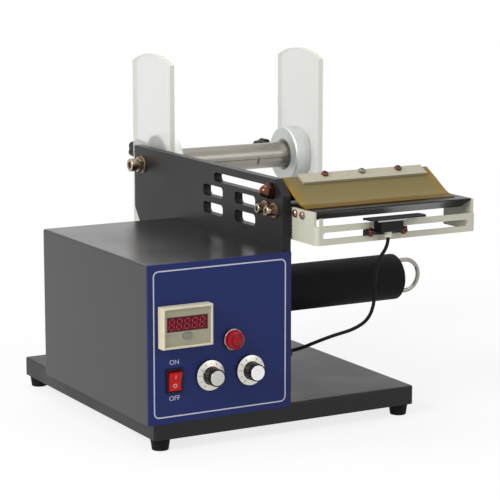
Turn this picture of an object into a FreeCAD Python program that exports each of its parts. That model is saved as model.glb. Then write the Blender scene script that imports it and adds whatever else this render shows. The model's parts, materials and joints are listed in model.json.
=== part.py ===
import FreeCAD, Part
import math
import os

from FreeCAD import Vector

# Label dispenser: a steel case with its controls on a folded base tray, a thick side plate
# that carries the label mandrel, the peel plate with its press sheet and sensor, and a driven
# drum that winds up the empty liner.
# Working frame: X = 0 on the case's left wall, Y = 0 on its front, Z = 0 on the table.
# The finished pieces are moved together so that the origin is under the machine's middle.

# Base tray and feet
base_width = 255.0
base_depth = 271.0
base_height = 16.5
base_sheet = 2.0
base_corner = 3.0
base_lip = 22.0
base_left = 7.0
foot_height = 10.0
foot_top_d = 17.0
foot_bottom_d = 14.0
foot_inset = 9.8
foot_screw_d = 4.0
foot_screw_head_d = 7.5
foot_screw_head = 2.5

# Case
case_width = 135.0
case_depth = 210.0
case_top = 157.7
case_wall = 1.2
case_skirt = 2.3
case_bend = 2.0
panel_thickness = 2.0
overlay_thickness = 0.3

# Side plate
plate_thickness = 8.0
plate_front = 14.5
plate_rear = 298.0
plate_top = 215.5
plate_nose_cut = 13.2
plate_foot_rear = 266.0
plate_waist_low = 113.0
plate_waist_high = 156.0
slot_corner = 3.8
short_slot_length = 36.5
short_slot_height = 10.2
short_slot_columns = (138.8, 80.2)
short_slot_rows = (191.2, 175.3)
long_slot_height = 8.2
long_slot_rear = 136.5

# Mandrel and flanges
mandrel_y = 280.4
mandrel_z = 199.0
mandrel_d = 25.0
mandrel_length = 172.0
mandrel_wall = 2.5
mandrel_plug = 30.0
mandrel_end_plug = 6.0
mandrel_bolt_d = 8.0
mandrel_washer_d = 16.5
mandrel_washer = 1.6
mandrel_nut_af = 13.0
mandrel_nut = 4.6
mandrel_head_d = 12.4
mandrel_head = 6.0
mandrel_thread_shown = 1.8
hub_d = 55.0
hub_thickness = 17.0
hub_chamfer = 1.2
hub_fit = 0.08
arm_width = 79.0
arm_thickness = 5.0
arm_shoulder_up = 96.2
arm_shoulder_down = 61.0
arm_crown = 8.8
left_arm_gap = 1.4
right_arm_end_gap = 3.0
arm_screw_pcd = 37.0
arm_screw_d = 3.0
arm_screw_head_d = 5.6
star_knob_d = 19.0
star_knob_lobes = 5
star_knob_length = 13.0
star_knob_reach = 50.0
star_stud_d = 6.0
left_knob_tilt = 7.0

# Press bar, its sheet and strip
press_y = 34.3
press_z = 204.7
press_bar_d = 20.0
press_bar_length = 148.5
press_flat = 8.0
press_tilt = 28.5
press_stud_d = 7.8
press_stud_grip = 22.0
stud_washer_d = 14.4
stud_washer = 1.6
dome_nut_af = 12.0
dome_nut_length = 7.0
sheet_thickness = 0.8
sheet_side_gap = 1.6
sheet_width = 150.0
sheet_set_back = 11.6
strip_inset = 16.4
strip_length = 126.5
strip_width = 12.4
strip_thickness = 2.2
strip_screw_pitch = 37.5
strip_screw_back = 3.0

# Peel plate, bracket and sensor
peel_top = 193.4
peel_thickness = 9.5
peel_rear = 62.0
peel_nose_y = -20.6
peel_bevel = 15.5
peel_lip = 1.0
bracket_gap = 1.5
bracket_width = 161.2
bracket_sheet = 2.0
bracket_front = -24.6
bracket_bend = 3.5
bracket_rear = 21.0
bracket_bottom = 165.0
bracket_wall_top = 181.0
bracket_slot_z = 172.9
bracket_slot_height = 5.6
bracket_post = 3.0
flange_screw_y = (9.0, -2.8)
flange_screw_z = 188.2
peel_bolt_y = (28.3, 43.8)
peel_bolt_z = 188.9
peel_bolt_d = 5.0
peel_bolt_grip = 12.0
peel_head_d = 8.5
peel_head = 4.2
peel_washer_d = 13.4
peel_washer = 1.2
peel_nut_af = 8.0
peel_nut = 3.0
peel_thread_shown = 0.6
peel_spacer_d = 9.0
sensor_offset = 56.5
sensor_width = 22.2
sensor_depth = 10.8
sensor_height = 10.4
sensor_top = 184.0
sensor_ear = 4.6
sensor_ear_thickness = 3.0
leaf_sheet = 1.5
leaf_before = 11.0
leaf_length = 57.0
sensor_tab_half = 2.6
sensor_tab_reach = 6.0
sensor_washer_d = 7.4
sensor_washer = 1.0
gland_d = 6.4
gland_length = 4.8
cable_d = 3.0
cable_hole_d = 8.0
cable_hole_y = 22.0
cable_hole_z = 66.5
cable_bush_d = 12.0
cable_bush_proud = 4.0

# Liner winder
drum_y = 91.3
drum_z = 106.3
drum_d = 38.0
sleeve_d = 42.0
sleeve_gap = 2.0
sleeve_length = 153.4
shaft_in_drum = 40.0
shaft_in_gearbox = 10.0
winder_shaft_d = 10.0
bush_d = 22.0
running_fit = 0.05
clip_rod_d = 4.0
clip_half_pitch = 14.4
clip_reach = 28.5
clip_leg_stop = 15.4
gearbox_size = 60.0
gearbox_length = 34.0
gearbox_screw_inset = 6.0
gearbox_screw_d = 4.0
motor_d = 54.0
motor_length = 58.0

# Panel controls
counter_left = 9.6
counter_width = 46.1
counter_bottom = 88.5
counter_height = 34.6
counter_proud = 9.6
counter_depth = 58.0
window_left = 4.4
window_width = 36.6
window_bottom = 14.6
window_height = 11.4
key_left = 22.6
key_bottom = 10.1
key_width = 8.0
key_height = 4.6
lamp_x = 79.0
lamp_z = 88.9
lamp_ring_d = 18.8
lamp_lens_d = 16.0
lamp_lens_side = 5.8
lamp_lens_rise = 2.4
switch_x = 24.2
switch_z = 60.0
switch_width = 15.5
switch_height = 20.4
rocker_width = 11.2
rocker_height = 16.6
rocker_half_throw = 9.0
dial_x = (56.9, 94.8)
dial_z = 61.0
dial_skirt_d = 25.6
dial_skirt_back = 1.8
dial_rim = 0.6
dial_skirt_rise = 1.8
dial_body_d = 15.6
dial_taper = 0.4
dial_body_length = 10.0
dial_cap_d = 12.9
dial_flutes = 12
pot_shaft_d = 6.0
pot_bush_d = 9.0

# Inside the case and on its rear wall
inlet_x = 38.0
inlet_z = 60.0
board_left = 20.0
board_width = 92.0
board_front = 132.0
board_depth = 64.0
board_raise = 7.0
board_sheet = 1.6
board_post_d = 6.0
board_post_inset = 5.0
relay_height = 15.0
terminal_height = 9.0
transformer_left = 14.0
transformer_front = 70.0
transformer_width = 48.0
transformer_depth = 42.0
transformer_height = 42.0
transformer_coil_inset = 9.0
transformer_foot = 2.0

# Small screws of the frame
frame_screw_d = 2.9
frame_screw_head_d = 6.0
frame_screw_head = 2.0
frame_screw_length = 9.0


def box(x0, x1, y0, y1, z0, z1):
    return Part.makeBox(x1 - x0, y1 - y0, z1 - z0, Vector(x0, y0, z0))


def cylinder(d, start, axis, length):
    return Part.makeCylinder(d / 2.0, length, Vector(*start), Vector(*axis))


def along_x(d, x0, x1, y, z):
    return cylinder(d, (x0, y, z), (1, 0, 0), x1 - x0)


def along_y(d, y0, y1, x, z):
    return cylinder(d, (x, y0, z), (0, 1, 0), y1 - y0)


def along_z(d, z0, z1, x, y):
    return cylinder(d, (x, y, z0), (0, 0, 1), z1 - z0)


def extrude_yz(points, x0, x1):
    """A flat outline given as (y, z) pairs, extruded from x0 to x1."""
    loop = [Vector(x0, y, z) for y, z in points]
    face = Part.Face(Part.makePolygon(loop + [loop[0]]))
    return face.extrude(Vector(x1 - x0, 0, 0))


def slot_along_y(y0, y1, z, height, corner, x0, x1):
    """A long hole through the side plate, with rounded corners."""
    body = box(x0, x1, y0, y1, z - height / 2.0, z + height / 2.0)
    edges = [e for e in body.Edges if abs(e.BoundBox.XLength - (x1 - x0)) < 1e-6]
    return body.makeFillet(corner, edges)


def hexagon_along_x(across_flats, x0, x1, y, z):
    radius = across_flats / math.sqrt(3.0)
    points = []
    for k in range(6):
        turn = math.radians(60.0 * k + 30.0)
        points.append((y + radius * math.cos(turn), z + radius * math.sin(turn)))
    return extrude_yz(points, x0, x1)


def socket_bolt_left(d, head_d, head, x_head, x_end, y, z):
    """A socket head bolt along X whose head looks to -X, with its hexagon socket."""
    shank = along_x(d, x_head + head, x_end, y, z)
    cap = along_x(head_d, x_head, x_head + head, y, z)
    cap = cap.makeChamfer(0.5, [cap.Edges[0], cap.Edges[2]])
    socket = hexagon_along_x(d * 0.8, x_head - 0.1, x_head + head * 0.55, y, z)
    return cap.cut(socket).fuse(shank)


def pan_screw(d, head_d, head, shank, place, direction):
    """A plain screw that points along direction, its head's seat at place and its rim chamfered."""
    seat = Vector(*place)
    way = Vector(*direction).normalize()
    body = Part.makeCylinder(d / 2.0, shank, seat, way)
    cap = Part.makeCylinder(head_d / 2.0, head * 0.6, seat - way * head * 0.6, way)
    crown = Part.makeCone(head_d / 2.0, head_d / 2.0 - head * 0.4, head * 0.4, seat - way * head * 0.6,
                          way * -1.0)
    return cap.fuse([crown, body])


def edge_at(shape, point):
    """The round edge whose centre lies nearest to a point."""
    rings = [e for e in shape.Edges if isinstance(e.Curve, Part.Circle)]
    return min(rings, key=lambda e: (e.Curve.Center - point).Length)


# Places that follow from the driving sizes
base_right = base_left + base_width
base_front = overlay_thickness + panel_thickness
base_rear = base_front + base_depth
base_top = foot_height + base_height
case_bottom = base_top - case_skirt
plate_left = case_width
plate_right = plate_left + plate_thickness
foot_places = [(x, y) for x in (base_left + foot_inset, base_right - foot_inset)
               for y in (base_front + foot_inset, base_rear - foot_inset)]
mandrel_end = plate_right + mandrel_length
left_arm_x = plate_right + left_arm_gap
left_hub_x = left_arm_x + arm_thickness
right_arm_x = mandrel_end - right_arm_end_gap - arm_thickness
right_hub_x = right_arm_x - hub_thickness
press_bar_x = plate_right + 0.3
bracket_left = plate_right + bracket_gap
bracket_right = bracket_left + bracket_width
peel_left = bracket_left + bracket_sheet
peel_right = bracket_right - bracket_sheet
long_slot_front = press_y - long_slot_height / 2.0
drum_left = plate_right + sleeve_gap
sleeve_right = drum_left + sleeve_length
clip_leg_depth = sleeve_length - clip_leg_stop
panel_back = overlay_thickness + panel_thickness
sheet_left = plate_right + sheet_side_gap
sheet_right = sheet_left + sheet_width
sheet_front_y = peel_nose_y + sheet_set_back
strip_left = sheet_left + strip_inset
strip_right = strip_left + strip_length
sensor_left = bracket_left + sensor_offset
leaf_left = sensor_left - leaf_before
leaf_right = leaf_left + leaf_length
sensor_screw_x = (sensor_left - 4.2, sensor_left + sensor_width + sensor_ear)
sensor_bottom = sensor_top - sensor_height
switch_pivot_y = overlay_thickness + 1.2
gearbox_screw_offset = gearbox_size / 2.0 - gearbox_screw_inset
gearbox_screw_offsets = [(sy * gearbox_screw_offset, sz * gearbox_screw_offset)
                         for sy in (-1, 1) for sz in (-1, 1)]
cable_entry = (plate_right + cable_bush_proud, cable_hole_y, cable_hole_z)
key_x = counter_left + key_left
key_z = counter_bottom + key_bottom
board_z = base_top + board_raise
plate_screw_y = [plate_front + (plate_foot_rear - plate_front) * share for share in (0.12, 0.5, 0.88)]
cover_screw_x = (10.0, case_width - 10.0)
cover_screw_z = (case_bottom + 22.0, case_top - 20.0)
dial_face_y = -dial_skirt_back - dial_rim - dial_skirt_rise
dial_front_y = dial_face_y - dial_body_length
tilt = math.radians(press_tilt)
flat_normal = Vector(0, -math.sin(tilt), math.cos(tilt))
flat_down = Vector(0, -math.cos(tilt), -math.sin(tilt))
press_axis = Vector(0, press_y, press_z)


def make_base_tray():
    tray = box(base_left, base_right, base_front, base_rear, foot_height, base_top)
    upright = [e for e in tray.Edges if e.BoundBox.ZLength > base_height - 0.1]
    tray = tray.makeFillet(base_corner, upright)
    rim = [e for e in tray.Edges if e.BoundBox.ZMin > base_top - 0.1]
    tray = tray.makeFillet(base_sheet * 0.75, rim)
    inside = box(base_left + base_sheet, base_right - base_sheet, base_front + base_sheet,
                 base_rear - base_sheet, foot_height + base_sheet, base_top - base_sheet)
    mouth = box(base_left + base_lip, base_right - base_lip, base_front + base_lip,
                base_rear - base_lip, foot_height - 1.0, foot_height + base_sheet + 1.0)
    tray = tray.cut(inside).cut(mouth)
    for x, y in foot_places:
        tray = tray.cut(along_z(foot_screw_d, foot_height - 1.0, foot_height + base_sheet + 1.0, x, y))
    for y in plate_screw_y:
        tray = tray.cut(along_z(frame_screw_d, base_top - base_sheet - 1.0, base_top + 1.0,
                                (plate_left + plate_right) / 2.0, y))
    return tray


def make_base_feet():
    feet = []
    for x, y in foot_places:
        foot = Part.makeCone(foot_bottom_d / 2.0, foot_top_d / 2.0, foot_height, Vector(x, y, 0))
        well = along_z(foot_screw_head_d + 0.6, -1.0, foot_screw_head + 1.5, x, y)
        feet.append(foot.cut(well).cut(along_z(foot_screw_d, 0.0, foot_height + 1.0, x, y)))
    return Part.makeCompound(feet)


def make_foot_screws():
    screws = []
    for x, y in foot_places:
        seat = foot_screw_head + 1.5
        head = along_z(foot_screw_head_d, seat - foot_screw_head, seat, x, y)
        shank = along_z(foot_screw_d - 0.1, seat, foot_height + base_sheet + 2.0, x, y)
        screws.append(head.fuse(shank))
    return Part.makeCompound(screws)


def make_housing_cover():
    shell = box(0.0, case_width, panel_back, case_depth, case_bottom, case_top)
    crown = [e for e in shell.Edges if e.BoundBox.ZMin > case_top - 0.1 and e.BoundBox.YMin > panel_back - 0.1]
    rounded = [e for e in crown if e.BoundBox.XMax < 0.1 or e.BoundBox.YMin > case_depth - 0.1]
    upright = [e for e in shell.Edges if e.BoundBox.ZLength > 100.0 and e.BoundBox.XMax < 0.1
               and e.BoundBox.YMin > case_depth - 0.1]
    shell = shell.makeFillet(case_bend, rounded + upright)
    hollow = box(case_wall, case_width - case_wall, panel_back - 1.0, case_depth - case_wall,
                 case_bottom - 1.0, case_top - case_wall)
    over_tray = box(base_left - 0.3, case_width + 1.0, panel_back - 1.0, case_depth + 1.0,
                    case_bottom - 1.0, base_top)
    shell = shell.cut(hollow).cut(over_tray)
    gear_window = box(case_width - 2.0 * case_wall, case_width + 1.0, drum_y - gearbox_size / 2.0 - 2.0,
                      drum_y + gearbox_size / 2.0 + 2.0, drum_z - gearbox_size / 2.0 - 2.0,
                      drum_z + gearbox_size / 2.0 + 2.0)
    shell = shell.cut(gear_window)
    shell = shell.cut(along_x(cable_hole_d, case_width - 5.0, case_width + 1.0, cable_hole_y, cable_hole_z))
    inlet = box(inlet_x - 13.8, inlet_x + 13.8, case_depth - 5.0, case_depth + 1.0, inlet_z - 10.0,
                inlet_z + 10.0)
    shell = shell.cut(inlet)
    for x in cover_screw_x:
        for z in cover_screw_z:
            shell = shell.cut(along_y(frame_screw_d, case_depth - 3.0, case_depth + 1.0, x, z))
    return shell


def make_front_panel():
    panel = box(0.0, case_width, overlay_thickness, panel_back, case_bottom, case_top)
    return cut_panel_holes(panel)


def cut_panel_holes(sheet):
    low, high = -1.0, panel_back + 1.0
    sheet = sheet.cut(box(counter_left + 1.4, counter_left + counter_width - 1.4, low, high,
                          counter_bottom + 1.4, counter_bottom + counter_height - 1.4))
    sheet = sheet.cut(along_y(lamp_ring_d - 6.0, low, high, lamp_x, lamp_z))
    sheet = sheet.cut(box(switch_x - switch_width / 2.0 + 1.2, switch_x + switch_width / 2.0 - 1.2, low,
                          high,
                          switch_z - switch_height / 2.0 + 1.2, switch_z + switch_height / 2.0 - 1.2))
    for x in dial_x:
        sheet = sheet.cut(along_y(pot_bush_d, low, high, x, dial_z))
    return sheet


def make_panel_overlay():
    return cut_panel_holes(box(0.0, case_width, 0.0, overlay_thickness, case_bottom, case_top))


def make_side_plate():
    outline = [(plate_front, base_top), (plate_front, plate_top - plate_nose_cut),
               (plate_front + plate_nose_cut, plate_top), (plate_rear, plate_top),
               (plate_rear, plate_waist_high), (plate_foot_rear, plate_waist_low),
               (plate_foot_rear, base_top)]
    plate = extrude_yz(outline, plate_left, plate_right)
    lo, hi = plate_left - 1.0, plate_right + 1.0
    for y in short_slot_columns:
        for z in short_slot_rows:
            plate = plate.cut(slot_along_y(y - short_slot_length / 2.0, y + short_slot_length / 2.0, z,
                                           short_slot_height, slot_corner, lo, hi))
    plate = plate.cut(slot_along_y(long_slot_front, long_slot_rear, press_z, long_slot_height,
                                   long_slot_height / 2.0 - 0.05, lo, hi))
    plate = plate.cut(along_x(mandrel_bolt_d, lo, hi, mandrel_y, mandrel_z))
    for y in peel_bolt_y:
        plate = plate.cut(along_x(peel_bolt_d, lo, hi, y, peel_bolt_z))
    plate = plate.cut(along_x(bush_d, lo, hi, drum_y, drum_z))
    plate = plate.cut(along_x(cable_hole_d, lo, hi, cable_hole_y, cable_hole_z))
    for dy, dz in gearbox_screw_offsets:
        plate = plate.cut(along_x(gearbox_screw_d, lo, hi, drum_y + dy, drum_z + dz))
    for y in plate_screw_y:
        plate = plate.cut(along_z(frame_screw_d, base_top - 1.0, base_top + frame_screw_length,
                                  (plate_left + plate_right) / 2.0, y))
    return plate


def make_mandrel_tube():
    """The roll tube: a tapped plug at the plate, a closing plug at its free end."""
    tube = along_x(mandrel_d, plate_right, mandrel_end, mandrel_y, mandrel_z)
    tube = tube.makeChamfer(0.8, [edge_at(tube, Vector(mandrel_end, mandrel_y, mandrel_z))])
    bore = along_x(mandrel_d - 2.0 * mandrel_wall, plate_right + mandrel_plug,
                   mandrel_end - mandrel_end_plug,
                   mandrel_y, mandrel_z)
    thread = along_x(mandrel_bolt_d, plate_right - 1.0, plate_right + mandrel_plug * 0.7, mandrel_y,
                     mandrel_z)
    return tube.cut(bore).cut(thread)


def make_mandrel_bolt():
    x_head = plate_left - mandrel_washer - mandrel_nut - mandrel_thread_shown - mandrel_head
    return socket_bolt_left(mandrel_bolt_d - 0.1, mandrel_head_d, mandrel_head, x_head,
                            plate_right + mandrel_plug * 0.66, mandrel_y, mandrel_z)


def make_mandrel_nut():
    washer = along_x(mandrel_washer_d, plate_left - mandrel_washer, plate_left, mandrel_y, mandrel_z)
    nut = hexagon_along_x(mandrel_nut_af, plate_left - mandrel_washer - mandrel_nut,
                          plate_left - mandrel_washer, mandrel_y, mandrel_z)
    hole = along_x(mandrel_bolt_d, plate_left - 20.0, plate_left + 1.0, mandrel_y, mandrel_z)
    return washer.fuse(nut).cut(hole)


def make_hub(x0, face, knob_tilt):
    """A turned clamp hub; face is the side (-1 left, +1 right) that shows its raised collar."""
    x1 = x0 + hub_thickness
    hub = along_x(hub_d, x0, x1, mandrel_y, mandrel_z)
    hub = hub.makeChamfer(hub_chamfer, [e for e in hub.Edges if isinstance(e.Curve, Part.Circle)])
    mouth_x = x0 if face < 0 else x1
    recess = Part.makeCone(mandrel_d / 2.0 + 3.0, mandrel_d / 2.0, 3.0,
                           Vector(mouth_x, mandrel_y, mandrel_z),
                           Vector(-face, 0, 0))
    hub = hub.cut(recess)
    hub = hub.cut(along_x(mandrel_d + 2.0 * hub_fit, x0 - 1.0, x1 + 1.0, mandrel_y, mandrel_z))
    stud_hole = Part.makeCylinder(star_stud_d / 2.0 + running_fit, hub_d,
                                  Vector((x0 + x1) / 2.0, mandrel_y, mandrel_z),
                                  knob_direction(knob_tilt))
    hub = hub.cut(stud_hole)
    seat = x1 if face < 0 else x0
    for y, z in arm_screw_places():
        hub = hub.cut(along_x(arm_screw_d, min(seat, seat + face * 8.0), max(seat, seat + face * 8.0), y,
                              z))
    return hub


def knob_direction(tilt):
    return Vector(0, math.cos(math.radians(tilt)), math.sin(math.radians(tilt)))


def arm_screw_places():
    places = []
    for k in range(4):
        turn = math.radians(90.0 * k + 45.0)
        places.append((mandrel_y + arm_screw_pcd / 2.0 * math.cos(turn),
                       mandrel_z + arm_screw_pcd / 2.0 * math.sin(turn)))
    return places


def make_arm(x0, screw_face):
    """A clear guide arm: straight sides, crowned ends, and countersinks on its outer face."""
    half = arm_width / 2.0
    top = mandrel_z + arm_shoulder_up
    low = mandrel_z - arm_shoulder_down
    a, b = Vector(x0, mandrel_y - half, low), Vector(x0, mandrel_y - half, top)
    c, d = Vector(x0, mandrel_y + half, top), Vector(x0, mandrel_y + half, low)
    crown = Part.Arc(b, Vector(x0, mandrel_y, top + arm_crown), c)
    keel = Part.Arc(d, Vector(x0, mandrel_y, low - arm_crown), a)
    wire = Part.Wire([Part.LineSegment(a, b).toShape(), crown.toShape(),
                      Part.LineSegment(c, d).toShape(), keel.toShape()])
    arm = Part.Face(wire).extrude(Vector(arm_thickness, 0, 0))
    arm = arm.cut(along_x(mandrel_d + 1.0, x0 - 1.0, x0 + arm_thickness + 1.0, mandrel_y, mandrel_z))
    for y, z in arm_screw_places():
        arm = arm.cut(along_x(arm_screw_d + 0.2, x0 - 1.0, x0 + arm_thickness + 1.0, y, z))
        mouth = x0 if screw_face < 0 else x0 + arm_thickness
        sink = Part.makeCone(arm_screw_head_d / 2.0 + 0.1, arm_screw_d / 2.0, 1.7, Vector(mouth, y, z),
                             Vector(-screw_face, 0, 0))
        arm = arm.cut(sink)
    return arm


def make_arm_screws(x0, screw_face):
    screws = []
    mouth = x0 if screw_face < 0 else x0 + arm_thickness
    for y, z in arm_screw_places():
        head = Part.makeCone(arm_screw_head_d / 2.0, arm_screw_d / 2.0, 1.6, Vector(mouth, y, z),
                             Vector(-screw_face, 0, 0))
        shank = Part.makeCylinder(arm_screw_d / 2.0 - 0.05, 12.0, Vector(mouth, y, z),
                                  Vector(-screw_face, 0, 0))
        screws.append(head.fuse(shank))
    return Part.makeCompound(screws)


def make_star_knob(x, tilt):
    """A lobed grip on a stud that reaches to the mandrel; modelled along +Z, then laid over."""
    neck_start = star_knob_reach - 6.0
    grip = Part.makeCylinder(star_knob_d * 0.40, star_knob_length, Vector(0, 0, star_knob_reach))
    for k in range(star_knob_lobes):
        turn = 2.0 * math.pi * k / star_knob_lobes
        lobe = Part.makeCylinder(star_knob_d * 0.19, star_knob_length,
                                 Vector(star_knob_d * 0.31 * math.cos(turn),
                                        star_knob_d * 0.31 * math.sin(turn),
                                        star_knob_reach))
        grip = grip.fuse(lobe)
    grip = grip.removeSplitter()
    crown = Part.makeSphere(star_knob_d * 1.15,
                            Vector(0, 0, star_knob_reach + star_knob_length - star_knob_d * 1.15))
    grip = grip.common(crown)
    neck = Part.makeCone(star_knob_d * 0.30, star_knob_d * 0.40, star_knob_reach - neck_start,
                         Vector(0, 0, neck_start))
    stud = Part.makeCylinder(star_stud_d / 2.0, star_knob_reach + 4.0 - mandrel_d / 2.0,
                             Vector(0, 0, mandrel_d / 2.0 + hub_fit))
    knob = grip.fuse(neck).fuse(stud)
    turn = FreeCAD.Rotation(Vector(0, 0, 1), knob_direction(tilt))
    knob.Placement = FreeCAD.Placement(Vector(x, mandrel_y, mandrel_z), turn)
    return knob


def make_press_stud():
    return along_x(press_stud_d, plate_left - stud_washer - dome_nut_length * 0.7,
                   press_bar_x + press_stud_grip, press_y, press_z)


def make_press_nut():
    """A domed cap nut with its washer on the plate's left face."""
    x1 = plate_left - stud_washer
    washer = along_x(stud_washer_d, x1, plate_left, press_y, press_z)
    skirt = hexagon_along_x(dome_nut_af, x1 - dome_nut_length * 0.5, x1, press_y, press_z)
    barrel = along_x(dome_nut_af * 0.94, x1 - dome_nut_length * 0.62, x1, press_y, press_z)
    ball = Part.makeSphere(dome_nut_af * 0.47, Vector(x1 - dome_nut_length * 0.52, press_y, press_z))
    nut = skirt.fuse(barrel).fuse(ball).fuse(washer)
    return nut.cut(along_x(press_stud_d, x1 - dome_nut_length * 0.7, plate_left + 1.0, press_y, press_z))


def on_flat(x, down, lift):
    """A point over the bar's flat: down along the slope, lift off the flat."""
    point = press_axis + flat_normal * (press_flat + lift) + flat_down * down
    return Vector(x, point.y, point.z)


def make_press_bar():
    bar = along_x(press_bar_d, press_bar_x, press_bar_x + press_bar_length, press_y, press_z)
    bar = bar.makeChamfer(0.8, [e for e in bar.Edges if isinstance(e.Curve, Part.Circle)])
    corner = on_flat(press_bar_x - 1.0, -press_bar_d, 0.0)
    half_space = Part.makeBox(press_bar_length + 2.0, 2.0 * press_bar_d, press_bar_d)
    # the box's Y runs down the slope and its Z along the flat's normal
    matrix = FreeCAD.Matrix(1, 0, 0, corner.x, 0, flat_down.y, flat_normal.y, corner.y,
                            0, flat_down.z, flat_normal.z, corner.z, 0, 0, 0, 1)
    bar = bar.cut(half_space.transformGeometry(matrix))
    bar = bar.cut(along_x(press_stud_d + 2.0 * running_fit, press_bar_x - 1.0,
                          press_bar_x + press_stud_grip + 0.5,
                          press_y, press_z))
    for x in strip_screw_x():
        bar = bar.cut(Part.makeCylinder(1.5, 9.0, on_flat(x, -strip_screw_back, 0.5), flat_normal * -1.0))
    return bar


def strip_screw_x():
    middle = (strip_left + strip_right) / 2.0
    return [middle + k * strip_screw_pitch for k in (-1, 0, 1)]


def make_press_sheet():
    """The pliant press sheet: clamped flat on the bar, curving down on to the peel plate."""
    start = on_flat(sheet_left, -strip_width * 0.46, sheet_thickness / 2.0)
    clamp_end = on_flat(sheet_left, strip_width * 0.52, sheet_thickness / 2.0)
    tip = Vector(sheet_left, sheet_front_y, peel_top + sheet_thickness / 2.0 + 0.3)
    curve = Part.BSplineCurve()
    reach = (clamp_end - tip).Length
    poles = [clamp_end, clamp_end + flat_down * (reach * 0.42), tip + Vector(0, reach * 0.34, 0.25), tip]
    bezier = Part.BezierCurve()
    bezier.setPoles(poles)
    curve = bezier.toShape()
    straight = Part.LineSegment(start, clamp_end).toShape()
    spine = Part.Wire([straight, curve])
    faces = spine.extrude(Vector(sheet_right - sheet_left, 0, 0))
    sheet = faces.makeOffsetShape(sheet_thickness / 2.0, 1e-4, fill=False)
    other = faces.makeOffsetShape(-sheet_thickness / 2.0, 1e-4, fill=False)
    solid = solid_between(sheet, other)
    for x in strip_screw_x():
        solid = solid.cut(Part.makeCylinder(1.6, 6.0, on_flat(x, -strip_screw_back, 3.0),
                                            flat_normal * -1.0))
    return solid


def solid_between(upper, lower):
    """The solid between two skins of like outline, closed by ruled faces along their borders."""
    faces = list(upper.Faces) + list(lower.Faces)
    top_ring = border(upper)
    low_ring = border(lower)
    for edge in top_ring:
        partner = min(low_ring, key=lambda e: (e.CenterOfMass - edge.CenterOfMass).Length)
        faces.append(Part.makeRuledSurface(edge, partner))
    shell = Part.Shell(faces)
    shell.sewShape()
    solid = Part.Solid(shell)
    solid.fix(1e-4, 1e-4, 1e-3)
    return solid if solid.Volume > 0 else solid.reversed()


def border(skin):
    """Edges that belong to one face only."""
    found = []
    for edge in skin.Edges:
        owners = [f for f in skin.Faces if any(edge.isSame(e) for e in f.Edges)]
        if len(owners) == 1:
            found.append(edge)
    return found


def make_press_strip():
    a = on_flat(strip_left, -strip_width / 2.0, sheet_thickness)
    strip = Part.makeBox(strip_right - strip_left, strip_width, strip_thickness)
    matrix = FreeCAD.Matrix(1, 0, 0, a.x, 0, flat_down.y, flat_normal.y, a.y,
                            0, flat_down.z, flat_normal.z, a.z, 0, 0, 0, 1)
    strip = strip.transformGeometry(matrix)
    for x in strip_screw_x():
        mouth = on_flat(x, -strip_screw_back, sheet_thickness + 4.0)
        strip = strip.cut(Part.makeCylinder(1.6, 8.0, mouth, flat_normal * -1.0))
    return strip


def make_strip_screws():
    screws = []
    for x in strip_screw_x():
        seat = on_flat(x, -strip_screw_back, sheet_thickness + strip_thickness)
        way = flat_normal * -1.0
        screws.append(pan_screw(2.9, 6.2, 2.4, 9.0, (seat.x, seat.y, seat.z), (way.x, way.y, way.z)))
    return Part.makeCompound(screws)


def make_peel_plate():
    """The polished peel plate: a flat top that ends in a thin bevelled lip at the front."""
    low = peel_top - peel_thickness
    outline = [(peel_nose_y, peel_top), (peel_rear, peel_top), (peel_rear, low),
               (peel_nose_y + peel_bevel, low), (peel_nose_y, peel_top - peel_lip)]
    plate = extrude_yz(outline, peel_left, peel_right)
    for y in peel_bolt_y:
        plate = plate.cut(along_x(peel_bolt_d, peel_left - 1.0, peel_left + peel_bolt_grip + 2.0, y,
                                  peel_bolt_z))
    for y in flange_screw_y:
        for x0, x1 in ((peel_left - 1.0, peel_left + 7.0), (peel_right - 7.0, peel_right + 1.0)):
            plate = plate.cut(along_x(3.0, x0, x1, y, flange_screw_z))
    return plate


def make_peel_bracket():
    """A U of bent sheet: two flanges and a slotted front wall that is lower than they are."""
    outer = box(bracket_left, bracket_right, bracket_front, bracket_rear, bracket_bottom, peel_top - 0.6)
    bends = [e for e in outer.Edges if e.BoundBox.ZLength > 10.0 and e.BoundBox.YMax < bracket_front + 0.1]
    outer = outer.makeFillet(bracket_bend, bends)
    inner = box(peel_left, peel_right, bracket_front + bracket_sheet, bracket_rear + 1.0,
                bracket_bottom - 1.0, peel_top + 1.0)
    inner_bends = [e for e in inner.Edges if e.BoundBox.ZLength > 10.0
                   and e.BoundBox.YMax < bracket_front + bracket_sheet + 0.1]
    inner = inner.makeFillet(bracket_bend - bracket_sheet, inner_bends)
    bracket = outer.cut(inner)
    window = box(bracket_left + bracket_bend + bracket_post, bracket_right + 1.0, bracket_front - 1.0,
                 bracket_front + bracket_bend, bracket_wall_top, peel_top + 1.0)
    notch = box(bracket_left - 1.0, bracket_left + bracket_bend, bracket_front - 1.0,
                bracket_front + bracket_bend, bracket_wall_top, peel_top + 1.0)
    post_top = box(bracket_left - 1.0, bracket_right, bracket_front - 1.0, bracket_front + bracket_bend,
                   peel_top - peel_thickness * 0.6, peel_top + 1.0)
    bracket = bracket.cut(window).cut(notch).cut(post_top)
    slot = box(bracket_left + bracket_bend + 3.0, bracket_right - 8.5, bracket_front - 1.0,
               bracket_front + bracket_bend + 1.0, bracket_slot_z - bracket_slot_height / 2.0,
               bracket_slot_z + bracket_slot_height / 2.0)
    ends = [e for e in slot.Edges if e.BoundBox.YLength > bracket_bend]
    bracket = bracket.cut(slot.makeFillet(bracket_slot_height / 2.0 - 0.05, ends))
    for y in flange_screw_y:
        bracket = bracket.cut(along_x(3.2, bracket_left - 1.0, bracket_right + 1.0, y, flange_screw_z))
    return bracket


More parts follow.
